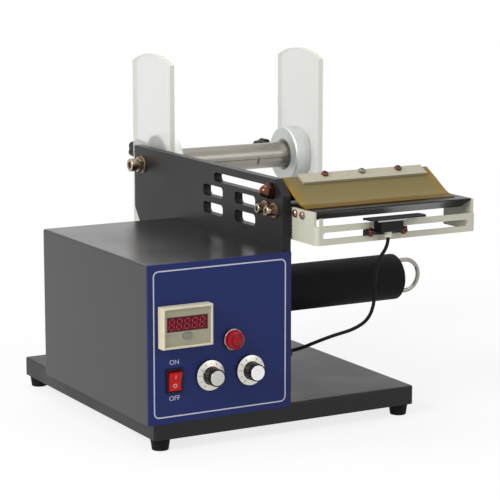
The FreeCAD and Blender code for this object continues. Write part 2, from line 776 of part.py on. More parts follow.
def make_bracket_screws():
    screws = []
    for y in flange_screw_y:
        screws.append(pan_screw(2.9, 6.4, 2.6, 8.0, (bracket_left, y, flange_screw_z), (1, 0, 0)))
        screws.append(pan_screw(2.9, 6.4, 2.6, 8.0, (bracket_right, y, flange_screw_z), (-1, 0, 0)))
    return Part.makeCompound(screws)


def make_peel_bolts():
    bolts = []
    for y in peel_bolt_y:
        x_head = plate_left - peel_washer - peel_nut - peel_thread_shown - peel_head
        bolts.append(socket_bolt_left(peel_bolt_d - 0.1, peel_head_d, peel_head, x_head,
                                      peel_left + peel_bolt_grip, y, peel_bolt_z))
    return Part.makeCompound(bolts)


def make_peel_bolt_nuts():
    rings = []
    for y in peel_bolt_y:
        hole = along_x(peel_bolt_d, plate_left - 10.0, peel_left + 1.0, y, peel_bolt_z)
        washer = along_x(peel_washer_d, plate_left - peel_washer, plate_left, y, peel_bolt_z)
        nut = hexagon_along_x(peel_nut_af, plate_left - peel_washer - peel_nut, plate_left - peel_washer,
                              y, peel_bolt_z)
        rings.append(washer.fuse(nut).cut(hole))
    return Part.makeCompound(rings)


def make_peel_spacers():
    rings = []
    for y in peel_bolt_y:
        ring = along_x(peel_spacer_d, plate_right, peel_left, y, peel_bolt_z)
        rings.append(ring.cut(along_x(peel_bolt_d, plate_right - 1.0, peel_left + 1.0, y, peel_bolt_z)))
    return Part.makeCompound(rings)


def make_sensor_bracket():
    """A bent leaf: its upright is screwed to the slotted wall, its shelf covers the sensor."""
    wall_y = bracket_front
    shelf_top = sensor_top + leaf_sheet
    front_y = wall_y - leaf_sheet - sensor_depth - 0.6
    profile = [(wall_y, bracket_slot_z - 5.0), (wall_y, shelf_top), (front_y, shelf_top),
               (front_y, shelf_top - leaf_sheet), (wall_y - leaf_sheet, shelf_top - leaf_sheet),
               (wall_y - leaf_sheet, bracket_slot_z - 5.0)]
    leaf = extrude_yz(profile, leaf_left, leaf_right)
    tab_low, tab_high = bracket_slot_z - sensor_tab_half, bracket_slot_z + sensor_tab_half
    under_shelf = shelf_top - leaf_sheet - 0.5
    body_right = sensor_left + sensor_width
    tab_right = sensor_screw_x[1] + sensor_tab_reach
    for x0, x1, z0, z1 in ((leaf_left - 1.0, sensor_left, tab_high, under_shelf),
                           (body_right, leaf_right + 1.0, tab_high, under_shelf),
                           (tab_right, leaf_right + 1.0, tab_low - 4.0, under_shelf),
                           (leaf_left - 1.0, leaf_right + 1.0, tab_low - 4.0, tab_low)):
        leaf = leaf.cut(box(x0, x1, wall_y - leaf_sheet - 0.1, wall_y + 1.0, z0, z1))
    nose = box(leaf_right - 12.0, leaf_right + 1.0, front_y - 1.0, wall_y + 1.0, shelf_top - 4.0,
               shelf_top + 1.0)
    keep = along_z(24.0, shelf_top - 5.0, shelf_top + 2.0, leaf_right - 12.0, (front_y + wall_y) / 2.0)
    leaf = leaf.cut(nose.cut(keep))
    for x in sensor_screw_x:
        leaf = leaf.cut(along_y(3.2, wall_y - 5.0, wall_y + 1.0, x, bracket_slot_z))
    return leaf


def make_sensor_body():
    y1 = bracket_front - leaf_sheet
    y0 = y1 - sensor_depth
    body = box(sensor_left, sensor_left + sensor_width, y0, y1, sensor_bottom, sensor_top)
    front = [e for e in body.Edges if e.BoundBox.YMax < y0 + 0.1]
    body = body.makeFillet(1.0, front)
    ear = box(sensor_left + sensor_width, sensor_screw_x[1] + 3.4, y1 - sensor_ear_thickness, y1,
              sensor_bottom, bracket_slot_z + sensor_tab_half + 0.4)
    ear = ear.cut(along_y(3.2, y0, y1 + 1.0, sensor_screw_x[1], bracket_slot_z))
    gland = along_z(gland_d, sensor_bottom - gland_length, sensor_bottom, cable_route[0][0],
                    cable_route[0][1])
    eye = along_y(4.0, y1 - 1.0, y1 - 0.2, sensor_left + sensor_width / 2.0, sensor_top - 3.0)
    return body.fuse(ear).fuse(gland).cut(eye)


def make_sensor_screws():
    y1 = bracket_front - leaf_sheet
    screws = []
    nut_y = bracket_front + bracket_sheet
    nut_height = 2.4
    for x, face in ((sensor_screw_x[0], y1), (sensor_screw_x[1], y1 - sensor_ear_thickness)):
        seat = face - sensor_washer
        washer = along_y(sensor_washer_d, seat, face, x, bracket_slot_z)
        reach = nut_y + nut_height + 1.0 - seat
        screw = pan_screw(2.9, 5.8, 2.4, reach, (x, seat, bracket_slot_z), (0, 1, 0))
        nut = along_y(7.0, nut_y, nut_y + nut_height, x, bracket_slot_z)
        screws.append(screw.fuse([washer, nut]))
    return Part.makeCompound(screws)


# The sensor's cable: down from the sensor, past the drum's front, to its bush in the side plate
cable_route = [
    (211.0, -31.4, sensor_bottom - gland_length),
    (211.0, -31.4, 161.0),
    (204.0, -31.0, 150.2),
    (200.2, -29.0, 132.0),
    (201.8, -26.0, 113.0),
    (199.6, -20.5, 97.0),
    (190.0, -12.5, 87.6),
    (175.5, -1.0, 81.4),
    (163.5, 11.0, 73.8),
    (154.5, 18.6, 68.4),
    cable_entry,
]


def make_tube(points, d):
    """Straight runs joined by tangent arcs; also prints the arcs' radii."""
    pts = [Vector(*p) for p in points]
    edges = []
    start = pts[0]
    radii = []
    for before, here, after in zip(pts, pts[1:], pts[2:]):
        run_in = here - before
        run_out = after - here
        cut = 0.45 * min(run_in.Length, run_out.Length)
        u, v = run_in.normalize(), run_out.normalize()
        turn = u.getAngle(v)
        radii.append(cut / math.tan(turn / 2.0))
        a, b = here - u * cut, here + v * cut
        middle = (v - u).normalize()
        centre = here + middle * (radii[-1] / math.cos(turn / 2.0))
        top = centre - middle * radii[-1]
        edges.append(Part.LineSegment(start, a).toShape())
        edges.append(Part.Arc(a, top, b).toShape())
        start = b
    edges.append(Part.LineSegment(start, pts[-1]).toShape())
    path = Part.Wire(edges)
    way = (pts[1] - pts[0]).normalize()
    ring = Part.Wire([Part.makeCircle(d / 2.0, pts[0], way)])
    tube = path.makePipeShell([ring], True, True)
    expected = math.pi * d * d / 4.0 * path.Length
    print("cable: length %.1f mm, radii %s, volume %.1f of %.1f" % (
        path.Length, ", ".join("%.1f" % r for r in radii), tube.Volume, expected))
    return tube


def make_cable_bush():
    x0 = plate_left - case_wall - 2.0
    body = along_x(cable_hole_d - 0.1, x0, plate_right, cable_hole_y, cable_hole_z)
    flange = Part.makeCone(cable_bush_d / 2.0, cable_bush_d / 2.0 - 1.6, cable_bush_proud,
                           Vector(plate_right, cable_hole_y, cable_hole_z), Vector(1, 0, 0))
    return body.fuse(flange)


def make_winder_bush():
    bush = along_x(bush_d - 0.1, plate_left, plate_right, drum_y, drum_z)
    flange = along_x(bush_d + 6.0, plate_right, plate_right + 1.4, drum_y, drum_z)
    bore = along_x(winder_shaft_d + 2.0 * running_fit, plate_left - 1.0, plate_right + 3.0, drum_y, drum_z)
    return bush.fuse(flange).cut(bore)


def make_winder_shaft():
    shaft = along_x(winder_shaft_d, plate_left - shaft_in_gearbox, drum_left + shaft_in_drum, drum_y,
                    drum_z)
    return shaft.makeChamfer(0.6, [e for e in shaft.Edges if isinstance(e.Curve, Part.Circle)])


def make_winder_drum():
    """A turned core with two bores near its rim for the legs of the liner clip."""
    drum = along_x(drum_d, drum_left, sleeve_right, drum_y, drum_z)
    shaft_bore = along_x(winder_shaft_d, drum_left - 1.0, drum_left + shaft_in_drum + 0.5, drum_y, drum_z)
    drum = drum.cut(shaft_bore)
    for side in (-1, 1):
        leg = along_x(clip_rod_d + 4.0 * running_fit, sleeve_right - clip_leg_depth - 1.0,
                      sleeve_right + 1.0,
                      drum_y, drum_z + side * clip_half_pitch)
        drum = drum.cut(leg)
    return drum


def make_winder_sleeve():
    sleeve = along_x(sleeve_d, drum_left, sleeve_right, drum_y, drum_z)
    sleeve = sleeve.makeChamfer(1.4, [e for e in sleeve.Edges if isinstance(e.Curve, Part.Circle)])
    return sleeve.cut(along_x(drum_d, drum_left - 1.0, sleeve_right + 1.0, drum_y, drum_z))


def make_liner_clip():
    """A U of round rod: two legs in the drum and a round bow that is pulled by hand."""
    start_x = sleeve_right - clip_leg_depth
    bow_x = sleeve_right + clip_reach - clip_half_pitch - clip_rod_d / 2.0
    low, high = drum_z - clip_half_pitch, drum_z + clip_half_pitch
    a, b = Vector(start_x, drum_y, low), Vector(bow_x, drum_y, low)
    c, d = Vector(bow_x, drum_y, high), Vector(start_x, drum_y, high)
    bow = Part.Arc(b, Vector(bow_x + clip_half_pitch, drum_y, drum_z), c)
    path = Part.Wire([Part.LineSegment(a, b).toShape(), bow.toShape(), Part.LineSegment(c, d).toShape()])
    ring = Part.Wire([Part.makeCircle(clip_rod_d / 2.0, a, Vector(1, 0, 0))])
    return path.makePipeShell([ring], True, True)


def make_gearbox():
    x0 = plate_left - gearbox_length
    half = gearbox_size / 2.0
    body = box(x0, plate_left, drum_y - half, drum_y + half, drum_z - half, drum_z + half)
    body = body.makeFillet(4.0, [e for e in body.Edges if e.BoundBox.XLength > gearbox_length - 0.1])
    body = body.cut(along_x(winder_shaft_d + 2.0 * running_fit, plate_left - shaft_in_gearbox - 0.5,
                             plate_left + 1.0, drum_y, drum_z))
    for dy, dz in gearbox_screw_offsets:
        body = body.cut(along_x(gearbox_screw_d, plate_left - 9.0, plate_left + 1.0, drum_y + dy,
                                drum_z + dz))
    return body


def make_gearbox_screws():
    screws = []
    for dy, dz in gearbox_screw_offsets:
        head = along_x(7.4, plate_right, plate_right + 1.6, drum_y + dy, drum_z + dz)
        shank = along_x(gearbox_screw_d - 0.1, plate_left - 8.0, plate_right, drum_y + dy, drum_z + dz)
        screws.append(head.fuse(shank))
    return Part.makeCompound(screws)


def make_motor():
    x1 = plate_left - gearbox_length
    x0 = x1 - motor_length
    can = along_x(motor_d, x0, x1, drum_y, drum_z)
    can = can.makeChamfer(2.4, [edge_at(can, Vector(x0, drum_y, drum_z))])
    boss = along_x(14.0, x0 - 4.0, x0, drum_y, drum_z)
    return can.fuse(boss)


def make_counter_case():
    x0, x1 = counter_left, counter_left + counter_width
    z0, z1 = counter_bottom, counter_bottom + counter_height
    bezel = box(x0, x1, -counter_proud, 0.0, z0, z1)
    front = [e for e in bezel.Edges if e.BoundBox.YMax < -counter_proud + 0.1]
    bezel = bezel.makeFillet(0.9, front)
    body = box(x0 + 1.6, x1 - 1.6, 0.0, counter_depth - counter_proud, z0 + 1.6, z1 - 1.6)
    face = box(x0 + 1.8, x1 - 1.9, -counter_proud - 1.0, -counter_proud + 1.2, z0 + 1.8, z1 - 1.8)
    display = counter_window(-counter_proud - 1.0)
    key_hole = counter_key_block(0.2, -counter_proud - 1.0, -counter_proud + 5.0)
    return bezel.fuse(body).cut(face).cut(display).cut(key_hole)


def counter_window(front):
    """The display's window block, from a given front to the bottom of its pocket."""
    x0 = counter_left + window_left
    z0 = counter_bottom + window_bottom
    return box(x0, x0 + window_width, front, -counter_proud + 3.4, z0, z0 + window_height)


def counter_key_block(gap, y0, y1):
    """The key's oval outline, wider by gap all round, from y0 to y1."""
    block = box(key_x - key_width / 2.0 - gap, key_x + key_width / 2.0 + gap, y0, y1,
                key_z - key_height / 2.0 - gap, key_z + key_height / 2.0 + gap)
    corners = [e for e in block.Edges if abs(e.BoundBox.YLength - (y1 - y0)) < 1e-6]
    return block.makeFillet(key_height * 0.42, corners)


def make_counter_key():
    y0 = -counter_proud + 0.2
    return counter_key_block(0.0, y0, y0 + 3.4)


def make_lamp_bezel():
    ring = along_y(lamp_ring_d, -2.6, 0.0, lamp_x, lamp_z)
    ring = ring.makeChamfer(0.8, [edge_at(ring, Vector(lamp_x, -2.6, lamp_z))])
    barrel = along_y(lamp_ring_d - 6.2, 0.0, 18.0, lamp_x, lamp_z)
    nut = along_y(lamp_ring_d - 1.0, panel_back, panel_back + 3.0, lamp_x, lamp_z)
    well = along_y(lamp_lens_d, -4.0, -1.0, lamp_x, lamp_z)
    return ring.fuse(barrel).fuse(nut).cut(well)


def make_lamp_lens():
    """A red cap with straight sides and a slightly domed front."""
    wide = lamp_lens_d - 0.1
    base = along_y(wide, -lamp_lens_side, -1.0, lamp_x, lamp_z)
    radius = (wide * wide / 4.0 + lamp_lens_rise * lamp_lens_rise) / (2.0 * lamp_lens_rise)
    ball = Part.makeSphere(radius, Vector(lamp_x, -lamp_lens_side - lamp_lens_rise + radius, lamp_z))
    return base.fuse(ball.common(along_y(wide, -lamp_lens_side - lamp_lens_rise - 1.0, -lamp_lens_side,
                                         lamp_x, lamp_z)))


def make_switch_case():
    half_w, half_h = switch_width / 2.0, switch_height / 2.0
    bezel = box(switch_x - half_w, switch_x + half_w, -2.0, 0.0, switch_z - half_h, switch_z + half_h)
    bezel = bezel.makeFillet(0.8, [e for e in bezel.Edges if e.BoundBox.YMax < -1.9])
    body = box(switch_x - half_w + 1.3, switch_x + half_w - 1.3, 0.0, 16.0,
               switch_z - half_h + 1.3, switch_z + half_h - 1.3)
    well = box(switch_x - rocker_width / 2.0 - 0.3, switch_x + rocker_width / 2.0 + 0.3, -3.0, 8.5,
               switch_z - rocker_height / 2.0 - 0.4, switch_z + rocker_height / 2.0 + 0.4)
    tabs = [box(switch_x + s * 3.4 - 0.4, switch_x + s * 3.4 + 0.4, 16.0, 23.0, switch_z - 2.4,
                switch_z + 2.4)
            for s in (-1, 1)]
    pin = along_x(2.0, switch_x - half_w + 1.5, switch_x + half_w - 1.5, switch_pivot_y, switch_z)
    return bezel.fuse(body).cut(well).fuse(tabs + [pin])


def make_power_rocker():
    """A two-faced rocker, tipped to its lower, off position at rest."""
    half = rocker_height / 2.0
    crest = 3.1
    drop = half * math.tan(math.radians(rocker_half_throw))
    y_mid = switch_pivot_y - crest
    outline = [(y_mid - drop, switch_z + half - 0.6), (y_mid, switch_z),
               (y_mid - drop, switch_z - half + 0.6),
               (switch_pivot_y + 2.6, switch_z - half + 0.6), (switch_pivot_y + 2.6, switch_z + half - 0.6)]
    rocker = extrude_yz(outline, switch_x - rocker_width / 2.0, switch_x + rocker_width / 2.0)
    rocker = rocker.cut(along_x(2.0 + 2.0 * running_fit, switch_x - rocker_width, switch_x + rocker_width,
                                switch_pivot_y, switch_z))
    rocker.rotate(Vector(switch_x, switch_pivot_y, switch_z), Vector(1, 0, 0), rocker_half_throw * 0.9)
    return rocker


def make_dial_pot(x):
    """A rotary control: can behind the panel, threaded bush and nut through it, and its shaft."""
    can = along_y(16.5, panel_back + 0.5, panel_back + 9.0, x, dial_z)
    collar = along_y(pot_bush_d - 0.1, -1.2, panel_back + 0.5, x, dial_z)
    nut = along_y(11.0, -1.6, 0.0, x, dial_z)
    return can.fuse(collar).fuse(nut).cut(along_y(pot_shaft_d + 2.0 * running_fit, -3.0, panel_back + 8.0,
                                                  x, dial_z))


def make_dial_knob(x):
    """A skirted pointer knob: a numbered skirt that rises in a flat cone to a fluted body, and its shaft."""
    rim = along_y(dial_skirt_d, -dial_skirt_back - dial_rim, -dial_skirt_back, x, dial_z)
    half = dial_body_d / 2.0
    rise = Part.makeCone(dial_skirt_d / 2.0, half + 0.2, dial_skirt_rise,
                         Vector(x, -dial_skirt_back - dial_rim, dial_z), Vector(0, -1, 0))
    body = Part.makeCone(half, half - dial_taper, dial_body_length, Vector(x, dial_face_y, dial_z),
                         Vector(0, -1, 0))
    body = body.makeChamfer(0.4, [edge_at(body, Vector(x, dial_front_y, dial_z))])
    for k in range(dial_flutes):
        turn = 2.0 * math.pi * (k + 0.5) / dial_flutes
        flute = along_y(2.0, dial_front_y - 1.0, dial_face_y - 1.0, x + (half + 0.5) * math.cos(turn),
                        dial_z + (half + 0.5) * math.sin(turn))
        body = body.cut(flute)
    knob = rim.fuse([rise, body])
    knob = knob.cut(along_y(dial_body_d - 3.2, -dial_skirt_back - 1.2, 0.0, x, dial_z))
    well = along_y(dial_cap_d, dial_front_y - 1.0, dial_front_y + 0.8, x, dial_z)
    shaft = along_y(pot_shaft_d, dial_face_y - 1.8, panel_back + 7.0, x, dial_z)
    return knob.cut(well).fuse(shaft)


def make_dial_cap(x):
    cap = along_y(dial_cap_d - 0.1, dial_front_y - 0.5, dial_front_y + 0.8, x, dial_z)
    return cap.makeChamfer(0.3, [edge_at(cap, Vector(x, dial_front_y - 0.5, dial_z))])


def make_control_board():
    x0, x1 = board_left, board_left + board_width
    y0, y1 = board_front, board_front + board_depth
    top = board_z + board_sheet
    board = box(x0, x1, y0, y1, board_z, top)
    relay = board_width * 0.17
    relays = [box(x0 + relay * (0.5 + 1.4 * k), x0 + relay * (1.5 + 1.4 * k), y0 + board_depth * 0.15,
                  y0 + board_depth * 0.34, top, top + relay_height) for k in range(3)]
    cans = [along_z(board_width * 0.1, top, top + relay_height, x1 - board_width * (0.09 + 0.13 * k),
                    y0 + board_depth * 0.45) for k in range(2)]
    terminals = box(x0 + board_post_inset, x1 - board_post_inset, y1 - terminal_height * 1.4,
                    y1 - terminal_height * 0.4, top, top + terminal_height)
    return board.fuse(relays + cans + [terminals])


def make_board_standoffs():
    posts = []
    for x in (board_left + board_post_inset, board_left + board_width - board_post_inset):
        for y in (board_front + board_post_inset, board_front + board_depth - board_post_inset):
            posts.append(along_z(board_post_d, base_top, board_z, x, y))
    return Part.makeCompound(posts)


def make_transformer():
    """A laminated core with its winding, standing on the tray inside the case."""
    inset = transformer_coil_inset
    x0, x1 = transformer_left, transformer_left + transformer_width
    y0, y1 = transformer_front, transformer_front + transformer_depth
    z0, z1 = base_top + transformer_foot, base_top + transformer_height
    core = box(x0, x1, y0 + inset, y1 - inset, z0, z1)
    coil = box(x0 + inset, x1 - inset, y0, y1, z0 + inset * 0.8, z1 - inset * 0.8)
    coil = coil.makeFillet(inset / 3.0,
                           coil.Edges[0:1] + coil.Edges[2:3] + coil.Edges[4:5] + coil.Edges[6:7])
    feet = box(x0 - inset * 0.7, x1 + inset * 0.7, y0 + inset * 1.3, y1 - inset * 1.3, base_top, z0)
    return core.fuse([coil, feet])


def make_mains_inlet():
    """The three-pin appliance inlet in the rear wall."""
    y1 = case_depth
    flange = box(inlet_x - 15.5, inlet_x + 15.5, y1, y1 + 2.0, inlet_z - 12.0, inlet_z + 12.0)
    flange = flange.makeFillet(1.0, [e for e in flange.Edges if e.BoundBox.YMin > y1 + 1.9])
    body = box(inlet_x - 13.6, inlet_x + 13.6, y1 - 16.0, y1, inlet_z - 9.8, inlet_z + 9.8)
    well = box(inlet_x - 11.8, inlet_x + 11.8, y1 - 14.0, y1 + 3.0, inlet_z - 7.8, inlet_z + 7.8)
    upper = [e for e in well.Edges if e.BoundBox.YLength > 10.0 and e.BoundBox.ZMin > inlet_z]
    well = well.makeChamfer(3.6, upper)
    pins = [box(inlet_x + dx - 1.0, inlet_x + dx + 1.0, y1 - 14.5, y1 - 2.0, inlet_z + dz - 1.8,
                inlet_z + dz + 1.8)
            for dx, dz in ((-7.0, -1.6), (0.0, 2.4), (7.0, -1.6))]
    return flange.fuse(body).cut(well).fuse(pins)


def make_frame_screws():
    """Alike pan head screws: up through the tray into the side plate, and in the cover's rear wall."""
    screws = []
    x = (plate_left + plate_right) / 2.0
    for y in plate_screw_y:
        screws.append(frame_screw((x, y, base_top - base_sheet), (0, 0, 1)))
    for x in cover_screw_x:
        for z in cover_screw_z:
            screws.append(frame_screw((x, case_depth, z), (0, -1, 0)))
    return Part.makeCompound(screws)


def frame_screw(place, direction):
    return pan_screw(frame_screw_d, frame_screw_head_d, frame_screw_head, frame_screw_length - 0.5, place,
                     direction)


def build_nodes():
    cord = {"sensor_cable": make_tube(cable_route, cable_d)}
    nodes = {
        "base_tray": make_base_tray(),
        "base_feet": make_base_feet(),
        "foot_screws": make_foot_screws(),
        "housing_cover": make_housing_cover(),
        "front_panel": make_front_panel(),
        "panel_overlay": make_panel_overlay(),
        "side_plate": make_side_plate(),
        "mandrel_tube": make_mandrel_tube(),
        "mandrel_bolt": make_mandrel_bolt(),
        "mandrel_nut": make_mandrel_nut(),
        "left_hub": make_hub(left_hub_x, 1, left_knob_tilt),
        "left_arm": make_arm(left_arm_x, -1),
        "left_arm_screws": make_arm_screws(left_arm_x, -1),
        "left_star_knob": make_star_knob(left_hub_x + hub_thickness / 2.0, left_knob_tilt),
        "right_hub": make_hub(right_hub_x, -1, 0.0),
        "right_arm": make_arm(right_arm_x, 1),
        "right_arm_screws": make_arm_screws(right_arm_x, 1),
        "right_star_knob": make_star_knob(right_hub_x + hub_thickness / 2.0, 0.0),
        "press_stud": make_press_stud(),
        "press_dome_nut": make_press_nut(),
        "press_bar": make_press_bar(),
        "press_sheet": make_press_sheet(),
        "press_strip": make_press_strip(),
        "press_strip_screws": make_strip_screws(),
        "peel_plate": make_peel_plate(),
        "peel_bracket": make_peel_bracket(),
        "bracket_screws": make_bracket_screws(),
        "peel_bolts": make_peel_bolts(),
        "peel_bolt_nuts": make_peel_bolt_nuts(),
        "peel_spacers": make_peel_spacers(),
        "sensor_bracket": make_sensor_bracket(),
        "sensor_body": make_sensor_body(),
        "sensor_screws": make_sensor_screws(),
        "cable_bush": make_cable_bush(),
        "winder_bush": make_winder_bush(),
        "winder_shaft": make_winder_shaft(),
        "winder_drum": make_winder_drum(),
        "winder_sleeve": make_winder_sleeve(),
        "liner_clip": make_liner_clip(),
        "gearbox": make_gearbox(),
        "gearbox_screws": make_gearbox_screws(),
        "motor": make_motor(),
        "counter_case": make_counter_case(),
        "counter_window": counter_window(-counter_proud + 1.3),
        "counter_key": make_counter_key(),
        "lamp_bezel": make_lamp_bezel(),
        "lamp_lens": make_lamp_lens(),
        "switch_case": make_switch_case(),
        "power_rocker": make_power_rocker(),
        "dial_pots": Part.makeCompound([make_dial_pot(x) for x in dial_x]),
        "left_dial_knob": make_dial_knob(dial_x[0]),
        "left_dial_cap": make_dial_cap(dial_x[0]),
        "right_dial_knob": make_dial_knob(dial_x[1]),
        "right_dial_cap": make_dial_cap(dial_x[1]),
        "control_board": make_control_board(),
        "board_standoffs": make_board_standoffs(),
        "transformer": make_transformer(),
        "mains_inlet": make_mains_inlet(),
        "frame_screws": make_frame_screws(),
    }
    return nodes, cord


def middle_of(nodes):
    """The middle of the machine's footprint, measured without its cable."""
    whole = Part.makeCompound(list(nodes.values())).optimalBoundingBox()
    return Vector((whole.XMin + whole.XMax) / 2.0, (whole.YMin + whole.YMax) / 2.0, 0.0)


def main():
    nodes, cord = build_nodes()
    shift = middle_of(nodes) * -1.0
    print("shift to the origin: %.4f %.4f" % (shift.x, shift.y))
    nodes.update(cord)
    os.makedirs("parts", exist_ok=True)
    for name, shape in nodes.items():
        placed = shape.copy()
        placed.translate(shift)
        placed.exportStep("parts/%s.step" % name)


main()
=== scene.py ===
import json
import math

import bpy
from bpy.props import FloatProperty, FloatVectorProperty, IntProperty, PointerProperty
from mathutils import Matrix, Vector


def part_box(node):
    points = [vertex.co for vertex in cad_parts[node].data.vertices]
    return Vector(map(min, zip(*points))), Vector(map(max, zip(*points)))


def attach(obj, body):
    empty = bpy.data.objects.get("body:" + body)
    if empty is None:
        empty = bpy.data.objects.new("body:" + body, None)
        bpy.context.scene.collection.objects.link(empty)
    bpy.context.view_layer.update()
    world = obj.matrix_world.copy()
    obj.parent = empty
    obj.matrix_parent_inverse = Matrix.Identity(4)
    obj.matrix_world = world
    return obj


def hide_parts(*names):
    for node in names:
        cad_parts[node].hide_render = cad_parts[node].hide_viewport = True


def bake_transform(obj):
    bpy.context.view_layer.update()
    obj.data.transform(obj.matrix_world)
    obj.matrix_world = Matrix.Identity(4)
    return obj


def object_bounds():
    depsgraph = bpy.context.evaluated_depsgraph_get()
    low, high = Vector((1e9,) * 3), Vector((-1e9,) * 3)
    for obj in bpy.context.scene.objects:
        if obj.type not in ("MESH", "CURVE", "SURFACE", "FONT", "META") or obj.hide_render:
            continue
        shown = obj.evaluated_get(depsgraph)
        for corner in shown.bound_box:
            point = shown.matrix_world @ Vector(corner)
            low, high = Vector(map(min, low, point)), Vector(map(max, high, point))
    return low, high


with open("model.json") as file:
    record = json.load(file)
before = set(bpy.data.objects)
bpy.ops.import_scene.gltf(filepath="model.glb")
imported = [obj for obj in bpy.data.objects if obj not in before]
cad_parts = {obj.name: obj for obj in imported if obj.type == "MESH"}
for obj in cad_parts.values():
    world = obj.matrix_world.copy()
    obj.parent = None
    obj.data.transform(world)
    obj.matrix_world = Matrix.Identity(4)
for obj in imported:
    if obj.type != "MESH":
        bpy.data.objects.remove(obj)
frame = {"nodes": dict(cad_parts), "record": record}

bl_info = {
    "name": "Label Dispenser Finish",
    "version": (1, 0, 0),
    "blender": (4, 5, 0),
    "location": "View3D > Sidebar > Dispenser",
    "description": "Dresses the label dispenser's frame with edges, finishes, printing and cable",
    "category": "Object",
}

CAD_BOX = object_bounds()
MM = 0.001
BODY_OF = {node: body for body, nodes in frame["record"]["behaviour"]["bodies"].items() for node in nodes}

# The scale of a wave pattern whose rings or bands lie one metre apart
WAVE = math.pi / 10.0

# The panel's left lower corner, from which the printing, the cable and the camera are placed
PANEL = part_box("panel_overlay")
FRONT = PANEL[0].y
CORNER = Vector((PANEL[0].x, FRONT, 0.0))

# Height of a capital letter as a share of its lettering's size
CAPITAL = 0.70

# Depth of a display segment
SEGMENT = 0.1 * MM

# A dial's skirt: radii of its rim and of its cone's foot, the cone's rise, and how far its back edge, the
# cone's rim and the cone's foot stand before the panel
SKIRT_RIM, SKIRT_FOOT, SKIRT_RISE = 12.8 * MM, 8.0 * MM, 1.8 * MM
SKIRT_BACK, SKIRT_FRONT, SKIRT_TOP = 1.75 * MM, 2.4 * MM, 4.3 * MM


def linear(code):
    """An sRGB hex colour as linear values with full alpha."""
    values = [int(code[k:k + 2], 16) / 255.0 for k in (1, 3, 5)]
    return tuple(v / 12.92 if v <= 0.04045 else ((v + 0.055) / 1.055) ** 2.4 for v in values) + (1.0,)


def length_setting(name, description, millimetres):
    """A length in the side panel."""
    return FloatProperty(name=name, description=description, default=millimetres * MM, unit="LENGTH")


def angle_setting(name, description, degrees):
    """An angle in the side panel."""
    return FloatProperty(name=name, description=description, default=math.radians(degrees),
                         subtype="ANGLE")


def colour_setting(name, description, code):
    """A colour in the side panel."""
    return FloatVectorProperty(name=name, description=description, size=4, subtype="COLOR",
                               default=linear(code))


class EdgeSizes(bpy.types.PropertyGroup):
    """How far each kind of edge is broken or rounded."""
    sheet: length_setting("Sheet edge", "Rounding of painted sheet edges", 0.35)
    plate: length_setting("Plate edge", "Broken edge of the thick side plate", 0.7)
    turned: length_setting("Turned edge", "Broken edge of turned metal pieces", 0.3)
    moulded: length_setting("Moulded edge", "Rounding of moulded plastic edges", 0.4)
    knob: length_setting("Knob edge", "Rounding of the clamp knobs' lobes", 0.6)
    sleeve: length_setting("Sleeve edge", "Rounding of the rubber sleeve's ends", 0.5)
    nut: length_setting("Nut edge", "Broken edge of nuts and of the drum", 0.2)
    fastener: length_setting("Screw edge", "Broken edge of screws and other thin pieces", 0.15)
    dial: length_setting("Dial edge", "Rounding of a dial's body and skirt", 0.12)
    cap: length_setting("Cap edge", "Rounding of a dial's spun cap", 0.1)


class PanelPrint(bpy.types.PropertyGroup):
    """The printing on the blue overlay and on the counter's label."""
    inset: length_setting("Border inset", "Border line's distance from the panel's edge", 5.2)
    line: length_setting("Border width", "Width of the printed border line", 1.1)
    corner: length_setting("Border corner", "Corner radius of the border line", 5.0)
    letters: length_setting("Letter height", "Height of ON and OFF", 4.0)
    rim: length_setting("Window rim", "Width of the dark rim round the counter's window", 0.5)
    film: length_setting("Ink height", "Height of printed ink over the film", 0.06)


class DisplaySizes(bpy.types.PropertyGroup):
    """The counter's seven-segment display."""
    digits: IntProperty(name="Digits", description="Number of digits behind the window", default=5, min=1)
    height: length_setting("Digit height", "Height of one digit", 8.4)
    stroke: length_setting("Stroke", "Width of one segment", 1.0)
    slant: angle_setting("Slant", "Lean of the digits", 7.0)


class DialPrint(bpy.types.PropertyGroup):
    """The scale on each dial's skirt."""
    marks: IntProperty(name="Marks", description="Numbered marks round the skirt", default=11, min=2)
    sweep: angle_setting("Sweep", "Angle from the first mark to the last", 290.0)
    figure: length_setting("Figure height", "Height of a figure on the skirt", 2.0)


class Colours(bpy.types.PropertyGroup):
    """Main finish colours."""
    case: colour_setting("Case", "Semi-gloss powder coat of the case", "#1f1e20")
    plate: colour_setting("Side plate", "Satin powder coat of the side plate", "#1f1f20")
    base: colour_setting("Base", "Satin powder coat of the base tray", "#161617")
    panel: colour_setting("Panel film", "Printed blue of the panel overlay", "#1d2a64")
    cream: colour_setting("Cream enamel", "Enamel of the peel plate's bracket", "#d3d1bf")
    amber: colour_setting("Press sheet", "Amber of the press sheet", "#80734b")


class Studio(bpy.types.PropertyGroup):
    """The camera."""
    lens: FloatProperty(name="Lens", description="Focal length on a 36 mm sensor", default=142.46)
    tilt: angle_setting("Camera tilt", "Turn about X", 79.94)
    heading: angle_setting("Camera heading", "Turn about Z", -29.3)
    distance: FloatVectorProperty(name="Camera place", description="Camera from the panel's left edge",
                                  size=3, subtype="XYZ", default=(-0.6941, -1.4066, 0.4487))


SETTINGS = {
    "dispenser_edges": EdgeSizes,
    "dispenser_print": PanelPrint,
    "dispenser_display": DisplaySizes,
    "dispenser_dials": DialPrint,
    "dispenser_colours": Colours,
    "dispenser_studio": Studio,
}


def centre_of(node):
    """The middle of a node's box."""
    low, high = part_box(node)
    return (low + high) / 2.0


